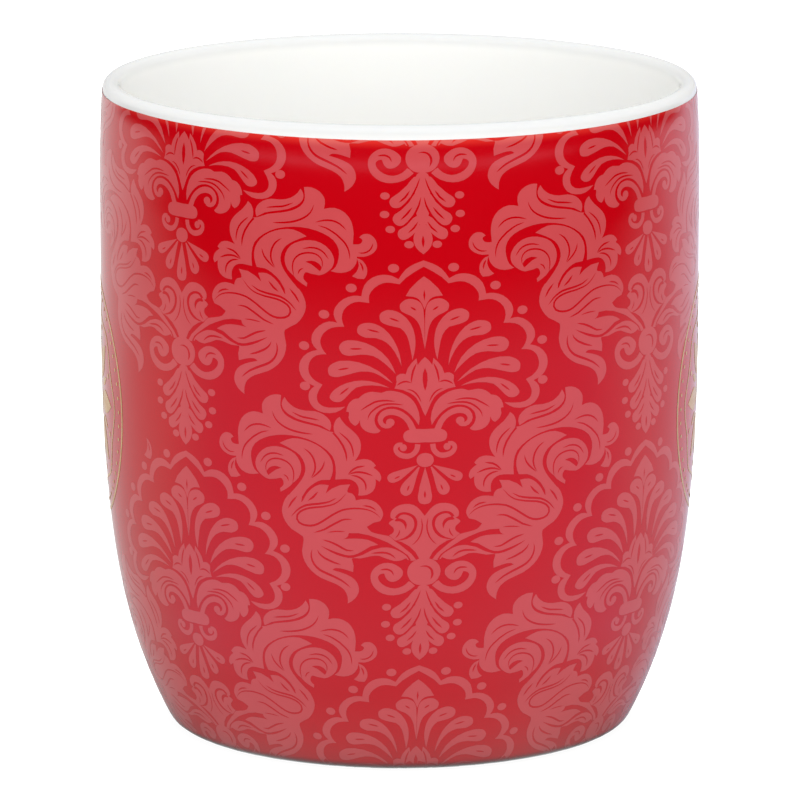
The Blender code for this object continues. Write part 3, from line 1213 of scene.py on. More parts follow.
    def upper_acanthus(self) -> None:
        """The upper acanthus branch, its curled tip and its leaves."""
        pen = self.pen
        pen.leaf(
            "11.95 21.75, 12.5 22.2, 12.85 23.1, 12.75 23.95 | 13.5 23.85, 15.1 23.25, 17.1 22.9, "
            "18.8 22.45, 19.95 21.8, 20.5 21, 20.55 20.2, 20.4 19.15 | 21.5 19.15, 22.7 19.7, "
            "23.4 20.7, 23.3 22 | 24.8 21.8, 26.2 22.4, 27.1 23.6, 27.4 25.2, 27.3 26.7 | 28.3 26.6, "
            "28.6 26.1, 28.15 25.75 | 28.7 25.3, 29.6 25.3, 30.4 26.1, 30.5 27.2, 29.8 28, 28.7 28.4, "
            "27.8 28.4 | 27.7 29.3, 26.9 30.3, 25.6 30.7, 24.2 30.5 | 24.9 29.9, 25.3 28.8, "
            "25.35 27.5, 24.7 26.3, 23.3 25.4, 21.2 24.8, 19 24.7, 16.6 25.1, 14.6 26, 13.1 27.3, "
            "12.65 28.8, 12.7 30.6 | 11.8 30.5, 10.6 30.5, 9.8 30.9, 9.35 31.7, 9.4 32.75 | "
            "8.2 32.65, 7.3 32.1, 6.95 31.3, 6.95 30.4 | 6.4 30.75 | 6.15 30.3, 6.4 29.5, 7.25 28.8 | "
            "6.9 28.5 | 7.6 27.8, 8.6 27.6, 9.9 27.9 | 9.2 26.8, 9 25.6, 9.3 24.6, 10.1 23.7, "
            "11.1 22.9, 11.7 22.2, 11.95 21.75"
        )
        pen.vein("12.1 23.9, 11.1 24.7, 10.4 25.6, 10.1 26.8, 10.1 27.4", .26)
        pen.vein("12.95 24, 12.2 24.85, 11.5 25.9, 11.1 27, 11.05 28", .32, 1)
        pen.vein("21.85 21.5, 21.6 22.3, 20.9 23.1, 19.6 23.8, 17.9 24.2, 15.9 24.35", .28)
        pen.vein("22.1 23.9, 23.1 23.6, 24 23.5, 25 23.7, 25.8 24.15, 26.4 24.8", .26)
        pen.vein("22.5 24.3, 23.8 24.65, 25 25.4, 26.1 26.4, 26.7 27.5, 26.85 28.8", .26)
        pen.vein("28 27.85, 28.9 27.85, 29.7 27.3, 30 26.5", .22)
        pen.leaf(
            "13.4 23.75, 13.2 23, 13.4 22.3, 14.3 21.5, 15.6 21.1, 17 21.1, 18.5 20.75, 19.5 20, "
            "19.9 19.4 | 20.35 20.2, 20.2 21, 19.4 21.75, 18.2 22.3, 16.4 22.7, 14.6 23.1, 13.4 23.75"
        )
        pen.vein("14.85 22.35, 16.2 22.15, 17.5 22, 18.9 21.4", .26)
        pen.leaf(
            "13.45 30.65, 13.05 29.4, 13.2 28, 14 26.8, 15.4 25.8, 17.2 25.2, 19 25.1, 20.9 25.9 | "
            "19.2 26.6, 17.9 27.4, 17.2 28.5, 17.1 29.6, 17.6 30.8, 18.8 32.3, 19.8 33.4, 20.4 34.4, "
            "20.6 35.6 | 18 34.6, 17.6 33.3 | 16.9 32.2, 15.7 31.2, 14.7 30.75, 13.45 30.65"
        )
        pen.vein("14.25 28, 14.5 28.9, 15.2 29.75, 16.15 30.55", .26)
        pen.vein("17.3 26.4, 16.3 27.1, 15.7 28.2, 15.65 29.4, 16.25 30.5", .28)

    def rosette(self) -> None:
        """The rolled rosette between the branches, a drop, and the veins of the lobes below."""
        pen = self.pen
        pen.leaf(
            "18.95 31.4, 18.1 30.6, 17.7 29.5, 17.85 28.4, 18.6 27.3, 19.9 26.65, 21.4 26.4, "
            "22.9 26.7, 24.1 27.6, 24.7 28.9, 24.4 30, 23.5 30.8, 22.6 31.15, 21.5 31, 20.7 30.85, "
            "20.4 31.3, 20.4 31.8, 20.9 32.3 | 20.8 32.8 | 20.1 32.4, 19.4 31.9, 18.95 31.4"
        )
        pen.vein("20.3 27.65, 21.4 27.4, 22.6 27.55, 23.4 28.1, 23.95 28.9", .24)
        pen.vein(
            "19 31.5, 18.8 30.4, 19 29.3, 19.8 28.5, 20.9 28.15, 22 28.2, 22.8 28.7, 23.1 29.4, "
            "22.95 30.2",
            .24,
        )
        pen.gap(
            "20.7 29.4, 21.6 29.2, 22.5 29.5, 22.95 30.1, 22.7 30.6 | 22.2 30.2, 21.5 29.7, 20.7 29.4"
        )
        pen.vein("19.6 31.2, 19.85 30.6, 20.4 30.3", .2)
        pen.leaf(
            "27.8 28.6, 28.5 28.9, 29.1 29.8, 29.1 30.8, 28.7 31.45 | 27.8 31.4, 27.1 31.1 | "
            "27.7 30.5, 28.05 29.6, 27.8 28.6"
        )
        pen.vein("28.15 29.1, 28.5 29.7, 28.6 30.4", .24)
        pen.vein("8.4 28.55, 9.5 28.75, 10.3 29.2, 10.9 29.85", .28)
        pen.vein("7.3 29.95, 8.4 29.55, 9.7 29.45, 10.8 29.85", .28)
        pen.vein("10.5 29.95, 9.4 30.1, 8.6 30.7, 8.3 31.4, 8.35 32.1", .28)

    def lower_acanthus(self) -> None:
        """The lower acanthus branch with its two arms."""
        pen = self.pen
        pen.leaf(
            "10.55 31.2, 12 31.35, 13.2 31.9, 14.1 32.6 | 13.65 31.45 | 15 31.4, 16.1 32, 17 33, "
            "17.5 33.9 | 18.2 34.2, 18.3 32.6 | 19.7 33.2, 20.4 34.4, 20.6 35.6, 20.1 36.9, 19.1 38, "
            "17.4 38.95, 17.3 39.7, 17.5 41, 17.1 42.5, 16.1 43.8, 14.6 44.8, 12.4 45.6, 11.2 46.4, "
            "10.7 47.4, 10.65 48.4 | 9.6 47.6, 9.1 46.5, 9.4 45.3, 10.2 44.5, 11.8 43.85, 13 43.55 | "
            "12.5 43.25, 11.2 43.4, 10 43.75 | 9.95 42.8, 10.2 41.9 | 10.1 41.75, 8.9 41.75, "
            "7.5 41.4, 6.3 41.35, 5.3 41.75, 4.2 42.1, 3.2 42, 2.5 41.7 | 2.3 41.95, 1.6 42.1, "
            "1.15 41.95 | 1.8 41.1, 2.7 40.35, 3.5 39.7, 4.2 39.2 | 5 38.5, 6.5 38.2, 7.5 37.9, "
            "8.15 37.2 | 7.2 36.6, 6.25 36.35 | 5.85 35.5, 6.1 34.6, 6.9 33.7, 8.2 33.25, "
            "9.75 33.45 | 9.9 32.9, 10.3 32.5, 10.95 32.3, 10.55 31.2"
        )
        pen.vein(
            "6.2 35.95, 7 35.2, 8.3 34.7, 10 34.6, 11.7 34.9, 13.2 35.7, 14.5 36.6, 15.9 37.3, "
            "17.2 37.3, 18.1 36.9, 18.35 36.1, 17.7 35.3, 16.4 34.8, 14.6 34.55, 13.1 34.2, 12 33.5, "
            "11.1 32.5",
            .3,
        )
        pen.vein("12.5 33.2, 13.6 33.8, 15.2 34.15, 17 34.45, 18.3 35.2, 19.2 36.2", .3)
        pen.vein("6.8 34.9, 7.6 34.35, 8.8 34.2", .24)
        pen.vein("10.2 36.2, 11.6 36.25, 12.9 36.95, 14.2 37.75, 15.8 38.3", .3)
        pen.vein("11.2 37.95, 12.5 37.95, 13.8 38.15", .18)
        pen.vein("15.2 32.4, 15.9 33.2, 16.7 33.8", .3)
        pen.vein("18.3 33.2, 19.1 34.1, 19.7 35.1", .3)
        pen.vein("9.9 40.65, 11.1 40.6, 12.2 40, 13.2 39.55, 14.5 39.25", .3)
        pen.vein("11.75 42.75, 13 42.4, 14.2 41.85, 15 41.2, 15.25 40.7", .3)
        pen.vein("16 40.7, 16.15 41.6, 15.8 42.7, 14.9 43.6, 13.4 44.25, 11.6 45.05, 10.3 46.05", .34)
        pen.gap(
            "4.2 40, 5.2 39.4, 6.4 38.9, 7.8 38.4, 9.3 38.12, 10.7 38.15 | 10.9 38.7, 11.5 39.05 | "
            "9.8 38.9, 8 39.05, 6.5 39.75 | 7.6 40, 8.8 40.75, 10 41.3, 11.2 41.3, 12.6 40.9, "
            "14.8 40.1 | 13.2 41, 11.5 41.6, 10 41.7, 8.7 41.25, 7.3 40.5, 6 40.15, 4.7 40.2, "
            "3.5 40.7, 2.5 41.4, 2.1 42.1 | 1.85 42 | 2.3 41.3, 3.1 40.7, 4.2 40"
        )
        pen.vein("4 41.75, 4.8 41.1, 6 40.85, 7.5 41", .28)

    def plume(self) -> None:
        """The plume between the lower branches."""
        pen = self.pen
        pen.leaf(
            "0 35.7, .7 34.8, 1.6 34.1, 2.8 33.95, 4 34.3, 4.75 35.1, 4.75 35.9, 4.3 36.1 | "
            "5.05 36.7, 4.4 37.3, 4.35 37.9, 5 38.4 | 4.15 39.1 | 3.2 39.35, 2.1 40, 1.2 40.9, "
            ".65 41.9 | 0 42.2 | 0 35.7"
        )
        pen.gap(
            "4.2 35.9, 3.7 35.3, 2.8 35.1, 1.8 35.4, 1.15 36.1, 1.05 37.1, 1.5 38.2, 2.5 38.95, "
            "4.1 39.2 | 2.9 38.8, 1.9 38, 1.45 37, 1.7 36, 2.5 35.5, 3.3 35.5, 3.8 36 | 4.2 35.9"
        )
        pen.gap(
            "3.9 35.95, 4.2 36.35, 3.4 36.45, 2.9 36.9, 2.65 37.6 | 2.5 36.9, 2.8 36.3, 3.4 36, "
            "3.9 35.95"
        )
        pen.vein("3.5 37.6, 3.6 38.2, 4.1 38.8", .2)
        pen.vein(".45 36, .3 37.2, .6 38.5, 1.2 39.4, 1.75 39.85", .2)

    def spirals(self) -> None:
        """The ball below the plume and the spirals beside it."""
        pen = self.pen
        pen.middle("0 41.7, 1.2 42, 2.1 42.8, 2.35 43.8, 2 44.8, 1.2 45.5, 0 45.7")
        pen.lone_gap(
            "-.7 43, .2 42.8, .95 43.1, 1.35 43.8, 1.3 44.4, .95 44.9 | 1.05 44.2, .9 43.5, "
            ".35 43.05, -.7 43"
        )
        pen.leaf(
            "1.2 45.75, 1.8 45.2, 2.1 45.05 | 2.8 45.7, 4 46.1, 5.3 45.8, 6.2 45.1, 6.45 44.4, "
            "6.1 44, 5.6 43.9 | 5.35 44.5, 4.9 45, 4.2 45.1, 3.5 44.8, 3 44.2 | 3 43.5, 3.6 42.9, "
            "4.5 42.45, 5.7 42.4, 6.8 42.95, 7.45 43.9, 7.4 45.1, 6.8 46.1, 5.7 46.85, 4.2 47.1, "
            "2.5 46.7, 1.2 45.75"
        )
        pen.vein("4.25 44.2, 4.55 43.6, 5.2 43.3, 6.2 43.4", .26)

    def pendant(self) -> None:
        """The pendant of leaves that ends the figure."""
        pen = self.pen
        pen.middle("0 45.6, .75 45.9, 1 47, 1 48.3, 1.2 50, .8 51.5, .6 52.6, 0 53")
        pen.leaf(
            ".5 46.2, 1.2 46.3, 2.1 47.4, 3.2 48.4, 4.2 49.1, 4.5 49.7, 4.1 50.4, 3.2 50.45, "
            "2.4 49.9, 1.5 48.9, .8 47.6, .5 46.2"
        )
        pen.leaf(
            ".15 48.6, 1 48.5, 1.8 49.7, 2.9 50.8, 3.8 51.4, 4.05 52.1, 3.6 52.8, 2.9 52.95, "
            "2.1 52.5, 1.15 51.4, .4 50, .15 48.6"
        )
        pen.leaf(
            ".5 51.5, 1.3 51.9, 2.2 52.9, 3.2 53.5, 3.4 54.2, 3 54.8, 2.4 54.85, 1.5 54.3, .8 53.5, "
            ".4 52.6, .5 51.5"
        )
        pen.vein("1.7 48.1, 2.3 49, 3.2 49.75", .28)
        pen.vein("1.4 50.4, 2.1 51.3, 3 52.15", .28)
        pen.vein(".65 52.4, 1.15 53.2, 2 53.95", .26)
        pen.vein(".35 46.4, .8 47.7, 1.5 49, 2.4 50, 3.2 50.6", .24)
        pen.vein(".2 49, .5 50.2, 1.15 51.5, 2.1 52.6, 2.9 53.1", .28)
        pen.middle("0 52.6, .5 52.9, 1 53.7, 1.3 54.7, 1.1 55.7, .6 56.4, 0 56.9")
        pen.middle_gap("0 54.3, .2 55.1, 0 56")
        for u, v in ((5.1, 48.85), (5.15, 51.4), (4.4, 53.45), (1.9, 55.55)):
            pen.bead(u, v, .65, .5)


@dataclass
class Cup:
    """The turned cup: a glazed body and the dry ring that it stands on."""

    steps: int = 384
    lip_wall: float = 2.4
    floor_round: float = 9.0
    floor_flat: float = 25.0
    foot_inner: float = 28.39
    recess_edge: float = 27.19
    recess_flat: float = 22.0
    recess_depth: float = 1.6
    glaze_stop: float = 0.06  # the glazed foot stays this far off the table
    ring: Pair = (28.9, 31.2)  # the dry ring's inner and outer radius
    ring_sunk: float = 0.4  # how far it reaches up into the body

    def body(self) -> Shape:
        """The body's profile turned: floor, bowl, round lip, outer wall, round heel, foot and recess.

        Returns:
            The closed body.
        """
        coat = Lift.CHINA.value
        lip = (self.lip_wall + coat) / 2
        lip_centre = OUTSIDE.height - lip
        floor_height, floor_centre, floor_lean = INSIDE.corner(self.floor_round)
        heel_height, heel_centre, heel_lean = OUTSIDE.corner(HEEL_ROUND)
        floor = arc(floor_centre, self.floor_round, -np.pi / 2, -floor_lean, 18)
        inner = INSIDE.point(np.linspace(floor_height, lip_centre, 44)[1:-1])
        rim = arc((INSIDE.mouth + lip, lip_centre), lip, np.pi, 0.0, 24)
        outer = OUTSIDE.point(np.linspace(lip_centre, heel_height, 64)[1:-1], coat)
        heel_end = -np.arcsin((heel_centre[1] - self.glaze_stop) / (HEEL_ROUND + coat))
        heel = arc(heel_centre, HEEL_ROUND + coat, -heel_lean, heel_end, 12)
        stop, top = self.glaze_stop, self.recess_depth
        corners = [(heel[-1, 0], stop), (self.foot_inner, stop), (self.recess_edge, top)]
        corners.append((self.recess_flat, top))
        under = eased(corners, 0.5)[1:]
        well = np.stack([np.linspace(0.0, self.floor_flat, 12), np.full(12, INSIDE.lowest)], 1)
        back = np.stack([np.linspace(self.recess_flat - 2, 0.0, 10), np.full(10, top)], 1)
        return turned(np.vstack([well, floor, inner, rim, outer, heel, under, back]), self.steps)

    def foot(self) -> Shape:
        """The dry ring: flat below, its edges just broken, its top hidden in the body."""
        (inner, outer), top = self.ring, self.ring_sunk
        corners = [(inner, top), (inner, 0.0), (outer, 0.0), (outer, top)]
        return turned(eased(corners, 0.12, 4), self.steps // 2, closed=True)

    def build(self, glaze: Glaze, dry: GroundFoot) -> None:
        """Makes both pieces."""
        self.body().piece("glazed_cup", glaze.material(), Slot.CHINA, ["cup_body"])
        self.foot().piece("ground_foot_ring", dry.material(), Slot.BARE)


@dataclass
class Wrap:
    """The printed wrap: the red ground, and the damask laid on it column by column."""

    transfer: Transfer
    pitch: float = 36.75  # mm from column to column
    repeat: float = 57.75  # mm from figure to figure down a column
    first: float = np.radians(4.6)  # angle of the column nearest the front
    reach: int = 4  # columns on either side of it
    ornament: Pair = (66.76, 47.5)  # mm round from the front and up to a gold ornament
    plain: float = 20.5  # mm from an ornament's middle that is kept plain
    most_lost: float = 0.3  # the share of a part's points that may lie in the plain field
    fan: Pair = (26.0, 48.0)  # mm from the column's middle, and down from the apex
    bead: float = 3.0  # mm, more than a bead is across
    middle: float = 24.0  # mm from a figure's apex down to its middle
    close: Pair = (12.0, 15.0)  # mm round and up, within which a figure lies right behind an ornament
    heel_from: float = 4.0  # mm above the table, under which the ground's cells are lower
    cells: tuple[int, int, int] = (360, 69, 15)  # the ground's, round the cup, down the wall and the heel
    cell: float = 1.5  # mm, the damask's

    def ground(self) -> Shape:
        """The red ground as a net of cells from bay edge to bay edge and from lip to heel.

        Returns:
            The ground's coat.
        """
        t = self.transfer
        half = (np.pi - t.bay) * t.belly
        around, high, low = self.cells
        u = np.linspace(-half, half, around + 1)
        heel_run = t.run_at(self.heel_from)
        wall = np.linspace(t.run_at(t.top), heel_run, high + 1)
        v = np.append(wall, np.linspace(heel_run, t.run_at(t.foot), low + 1)[1:])
        flat = np.stack(np.meshgrid(u, v, indexing="ij"), 2).reshape(-1, 2)
        faces, _ = grid_faces(len(u), len(v))
        return t.laid(flat, faces, 0.0, Lift.GROUND)

    def stays(self, flat: np.ndarray, part: np.ndarray, centre: float, start: float) -> np.ndarray:
        """Which points of one figure are left, with a plain field kept round each gold ornament.

        A part goes as a whole if more than three tenths of its points lie in the plain field. The figure
        right behind the ornament also loses each part with any point in the field, its whole fan, and the
        beads near the column's middle.

        Args:
            flat: the figure's points.
            part: for each point, the number that its connected part goes by.
            centre: the column's angle.
            start: the run at which this figure starts.

        Returns:
            True for each point that is left.
        """
        t = self.transfer
        count = len(flat)
        height = np.interp(flat[:, 1] + start, t.line[0], t.line[1][:, 1])
        past = np.abs(centre * t.belly + flat[:, 0]) - self.ornament[0]
        away = np.hypot(past, height - self.ornament[1])
        nearest = np.full(count, np.inf)
        np.minimum.at(nearest, part, away)
        furthest, outermost, lowest = np.zeros((3, count))
        np.maximum.at(furthest, part, away)
        np.maximum.at(outermost, part, np.abs(flat[:, 0]))
        np.maximum.at(lowest, part, flat[:, 1])
        size = np.maximum(np.bincount(part, minlength=count), 1)
        within = np.bincount(part, away < self.plain, count) / size
        beads = (furthest - nearest < self.bead) & (outermost < self.close[0])
        fan = (outermost < self.fan[0]) & (lowest < self.fan[1])
        middle = np.interp(start + self.middle, t.line[0], t.line[1][:, 1])
        off = (abs(centre) * t.belly - self.ornament[0], middle - self.ornament[1])
        behind = abs(off[0]) < self.close[0] and abs(off[1]) < self.close[1]
        gone = (within > self.most_lost) | (behind & ((nearest < self.plain) | beads | fan))
        return ~gone[part]

    def column(self, number: int, flat: np.ndarray, triangles: np.ndarray) -> Optional[Shape]:
        """One column of the damask: the figure at each repeat, odd columns half a repeat lower.

        Args:
            number: the column, 0 nearest the front.
            flat: the figure's points.
            triangles: the figure's triangles.

        Returns:
            The column's coat, cut off at the print's edges, or None if nothing is left of it.
        """
        t = self.transfer
        centre = self.first + number * self.pitch / t.belly
        drop = self.repeat / 2 * (number % 2)
        starts = [drop + k * self.repeat for k in (-2, -1, 0, 1)]
        part = parts_of(triangles, len(flat))
        points = np.vstack([flat + (0.0, start) for start in starts])
        left = np.concatenate([self.stays(flat, part, centre, start) for start in starts])
        faces = np.vstack([triangles + k * len(flat) for k in range(len(starts))])
        points, faces = compact(points, faces[left[faces].all(1)])
        half = np.pi - t.bay
        low = ((-half - centre) * t.belly, t.run_at(t.top))
        high = ((half - centre) * t.belly, t.run_at(t.foot))
        points, faces = trimmed(points, faces, low, high)
        return t.laid(points, faces, centre, Lift.DAMASK) if len(faces) else None

    def build(self, ground: FiredRed, light: FiredRed) -> None:
        """Lays the ground and every column.

        Args:
            ground: the ground's finish.
            light: the damask's.
        """
        self.ground().piece("red_ground_wrap", ground.material(), Slot.PRINT, ["wrap_transfer"])
        finish = light.material()
        flat, triangles = Damask().drawn().cut_out(self.cell)
        LOG.info("the damask's figure has %d triangles", len(triangles))
        for number in range(-self.reach, self.reach + 1):
            column = self.column(number, flat, triangles)
            if column is not None:
                column.piece(f"damask_column_{number + self.reach + 1}", finish, Slot.PRINT)


@dataclass
class Handle:
    """The loop handle: an oval section carried along two Bezier spans, wider at the wall, and the slip
    that beds each root.

    Places are (out, up) in mm: out from the cup's axis towards the handle, up from the table.
    """

    width: float = 11.6
    thickness: float = 6.8
    crest: Pair = (73.1, 54.0)  # where the centre line is furthest out
    upper_height: float = 71.0  # the roots
    lower_height: float = 25.0
    upper_rise: float = np.radians(9.0)  # how steeply the line climbs from each root
    lower_rise: float = np.radians(17.0)
    upper_pull: float = 21.0  # mm from each root to the knot that draws the line straight out of it
    lower_pull: float = 22.0
    crest_pulls: Pair = (13.0, 19.0)  # mm from the crest to the knots above and below
    wall: float = 2.9  # mm that the line starts inside the wall
    seat: float = -0.3  # how far in from the print's face the bare wall lies
    root_flare: float = 1.34
    flare_length: float = 6.0
    sunk: float = 1.1  # how far each end reaches into the wall
    settle: float = 0.22  # the share of the length over which the rows turn from a root's cut to square
    search: float = 14.0  # mm of the line at each end, within which the skin comes out of the wall
    fillet: float = 1.7  # mm that the slip reaches up the root and out over the wall
    slip_steps: int = 12  # steps over the slip's face
    slip_foot: float = 0.5  # mm that its hidden edge lies in the wall
    slip_heart: Pair = (0.9, 0.6)  # mm that its hidden corner lies in the wall, and in the root
    slip_inner: float = 0.86  # its upper hidden edge as a share of the root's section
    rows: int = 180
    around: int = 96

    def path(self) -> np.ndarray:
        """The centre line: b0 (1-t)^3 + 3 b1 t (1-t)^2 + 3 b2 t^2 (1-t) + b3 t^3, over both spans.

        Returns:
            Its points (out, up), from the upper root to the lower.
        """
        upper, lower = (
            np.array([OUTSIDE.point(np.float64(h), self.seat)[0] - self.wall, h])
            for h in (self.upper_height, self.lower_height)
        )
        upper_knot = upper + self.upper_pull * np.array([np.cos(self.upper_rise), np.sin(self.upper_rise)])
        lower_knot = lower + self.lower_pull * np.array([np.cos(self.lower_rise), np.sin(self.lower_rise)])
        crest = np.array(self.crest)
        above, below = crest + (0.0, self.crest_pulls[0]), crest - (0.0, self.crest_pulls[1])
        t = np.linspace(0, 1, 400)[:, None]
        spans = [
            a * (1 - t) ** 3 + 3 * b * t * (1 - t) ** 2 + 3 * c * t**2 * (1 - t) + d * t**3
            for a, b, c, d in ((upper, upper_knot, above, crest), (crest, below, lower_knot, lower))
        ]
        return np.vstack([spans[0], spans[1][1:]])

    def surface(self, run: np.ndarray, turn: np.ndarray) -> np.ndarray:
        """Points on the handle's skin: path(run) + flare * (width / 2 cos turn, thickness / 2 sin turn) over
        the level direction and the path's normal, where flare = 1 + 0.34 exp(-distance / 6).

        Args:
            run: the distance along the path.
            turn: the angle round the section.

        Returns:
            Points x, y and z about the cup's axis.
        """
        line = self.path()
        runs = run_along(line)
        along = np.gradient(line, runs, axis=0)
        out, up, out_step, up_step = (
            np.interp(run, runs, values) for values in (line[:, 0], line[:, 1], along[:, 0], along[:, 1])
        )
        length = np.hypot(out_step, up_step)
        nearest = np.clip(np.minimum(run, runs[-1] - run) - self.wall, 0, None)
        flare = 1 + (self.root_flare - 1) * np.exp(-nearest / self.flare_length)
        aside = self.width / 2 * flare * np.cos(turn)
        over = self.thickness / 2 * flare * np.sin(turn)
        return np.stack([aside, out - over * up_step / length, up + over * out_step / length], -1)

    def length(self) -> float:
        """The path's length."""
        return float(np.linalg.norm(np.diff(self.path(), axis=0), axis=1).sum())

    def meets(self, lower: bool) -> np.ndarray:
        """The run at which each line along the handle's skin comes out of the glazed wall.

        Args:
            lower: at the lower root, not the upper one.

        Returns:
            One run for each turn round the section.
        """
        turn = turns(self.around)
        steps = np.linspace(0.0, self.search, 560)
        run = self.length() - steps if lower else steps
        skin = self.surface(run[:, None], turn[None, :])
        clear = np.hypot(skin[..., 0], skin[..., 1]) - OUTSIDE.radius(skin[..., 2]) - Lift.GROUND.value
        first = np.argmax(clear > 0, axis=0)
        column = np.arange(self.around)
        a, b = clear[first - 1, column], clear[first, column]
        return run[first - 1] + (run[first] - run[first - 1]) * a / (a - b)

    def loop(self) -> Shape:
        """The loop's skin from inside the wall at one root to inside it at the other, closed at the ends.

        Each row's runs go from start to end by the share t, and keep what the cut at a root adds to their
        mean by the square of one minus the share of the settling length.

        Returns:
            The closed loop.
        """
        turn = turns(self.around)
        start, end = self.meets(False) - self.sunk, self.meets(True) + self.sunk
        t = np.linspace(0, 1, self.rows)[:, None]
        near = np.clip(1 - t / self.settle, 0, 1) ** 2
        far = np.clip(1 - (1 - t) / self.settle, 0, 1) ** 2
        run = start.mean() * (1 - t) + end.mean() * t
        run = run + near * (start - start.mean()) + far * (end - end.mean())
        skin = self.surface(run, turn[None, :])
        ends = [skin[k].mean(0)[None, :].repeat(self.around, 0)[None] for k in (0, -1)]
        points = np.concatenate([ends[0], skin, ends[1]])
        faces, shares = grid_faces(self.rows + 2, self.around, closed_columns=True)
        return Shape(points.reshape(-1, 3), [faces], [shares]).outward()

    def slip(self, lower: bool) -> Shape:
        """The slip at one root: a ring whose face is the parabola from the root's skin to the wall's, drawn
        towards the corner between them, and whose back lies hidden in both.

        Args:
            lower: the lower root, not the upper one.

        Returns:
            The ring.
        """
        turn = turns(self.around)
        run = self.meets(lower)
        outwards = -1.0 if lower else 1.0
        corner = self.surface(run, turn)
        root = self.surface(run + outwards * self.fillet, turn)
        inner = self.slip_inner * (root - root.mean(0)) + root.mean(0)
        angle = np.arctan2(corner[:, 0], corner[:, 1])
        lean = OUTSIDE.lean(corner[:, 2])
        level = np.cos(lean)
        wall_normal = np.stack([np.sin(angle) * level, np.cos(angle) * level, -np.sin(lean)], 1)
        along = np.roll(corner, -1, 0) - np.roll(corner, 1, 0)
        away = np.cross(along, wall_normal)
        away /= np.linalg.norm(away, axis=1)[:, None]
        away *= np.sign(np.einsum("ij,ij->i", away, corner - corner.mean(0)).sum())
        spread = corner + self.fillet * away
        spread_angle = np.arctan2(spread[:, 0], spread[:, 1])
        r = OUTSIDE.radius(spread[:, 2]) + Lift.CHINA.value
        foot = np.stack([r * np.sin(spread_angle), r * np.cos(spread_angle), spread[:, 2]], 1)
        t = np.linspace(0, 1, self.slip_steps + 1)[None, :, None]
        face = root[:, None] * (1 - t) ** 2 + 2 * corner[:, None] * t * (1 - t) + foot[:, None] * t**2
        heart = corner - self.slip_heart[0] * wall_normal - self.slip_heart[1] * away
        hidden = np.stack([foot - self.slip_foot * wall_normal, heart, inner], 1)
        points = np.concatenate([face, hidden], axis=1)
        faces, shares = grid_faces(self.around, points.shape[1], True, True)
        return Shape(points.reshape(-1, 3), [faces], [shares]).outward()

    def crease(self, made: bpy.types.Object, ring_size: int, at: Sequence[int]) -> None:
        """Marks the edges that run round a ring at the given places in its section as sharp.

        Args:
            made: the ring.
            ring_size: how many points its section has.
            at: their numbers in the section.
        """
        mesh = made.data
        ends = np.empty(len(mesh.edges) * 2, np.int32)
        mesh.edges.foreach_get("vertices", ends)
        place = ends.reshape(-1, 2) % ring_size
        sharp = (place[:, 0] == place[:, 1]) & np.isin(place[:, 0], at)
        mesh.attributes.new("sharp_edge", "BOOLEAN", "EDGE").data.foreach_set("value", sharp)

    def build(self, glaze: Glaze, slip_glaze: Glaze) -> None:
        """Makes the loop and both beds of slip.

        Args:
            glaze: the loop's finish.
            slip_glaze: the slip's.
        """
        self.loop().piece("handle_loop", glaze.material(), Slot.CHINA, ["handle"])
        finish = slip_glaze.material()
        last = self.slip_steps
        for name, lower in (("upper_slip", False), ("lower_slip", True)):
            made = self.slip(lower).piece(f"{name}_fillet", finish, Slot.SLIP, [f"{name}_joint"])
            self.crease(made, last + 4, (0, *range(last, last + 4)))


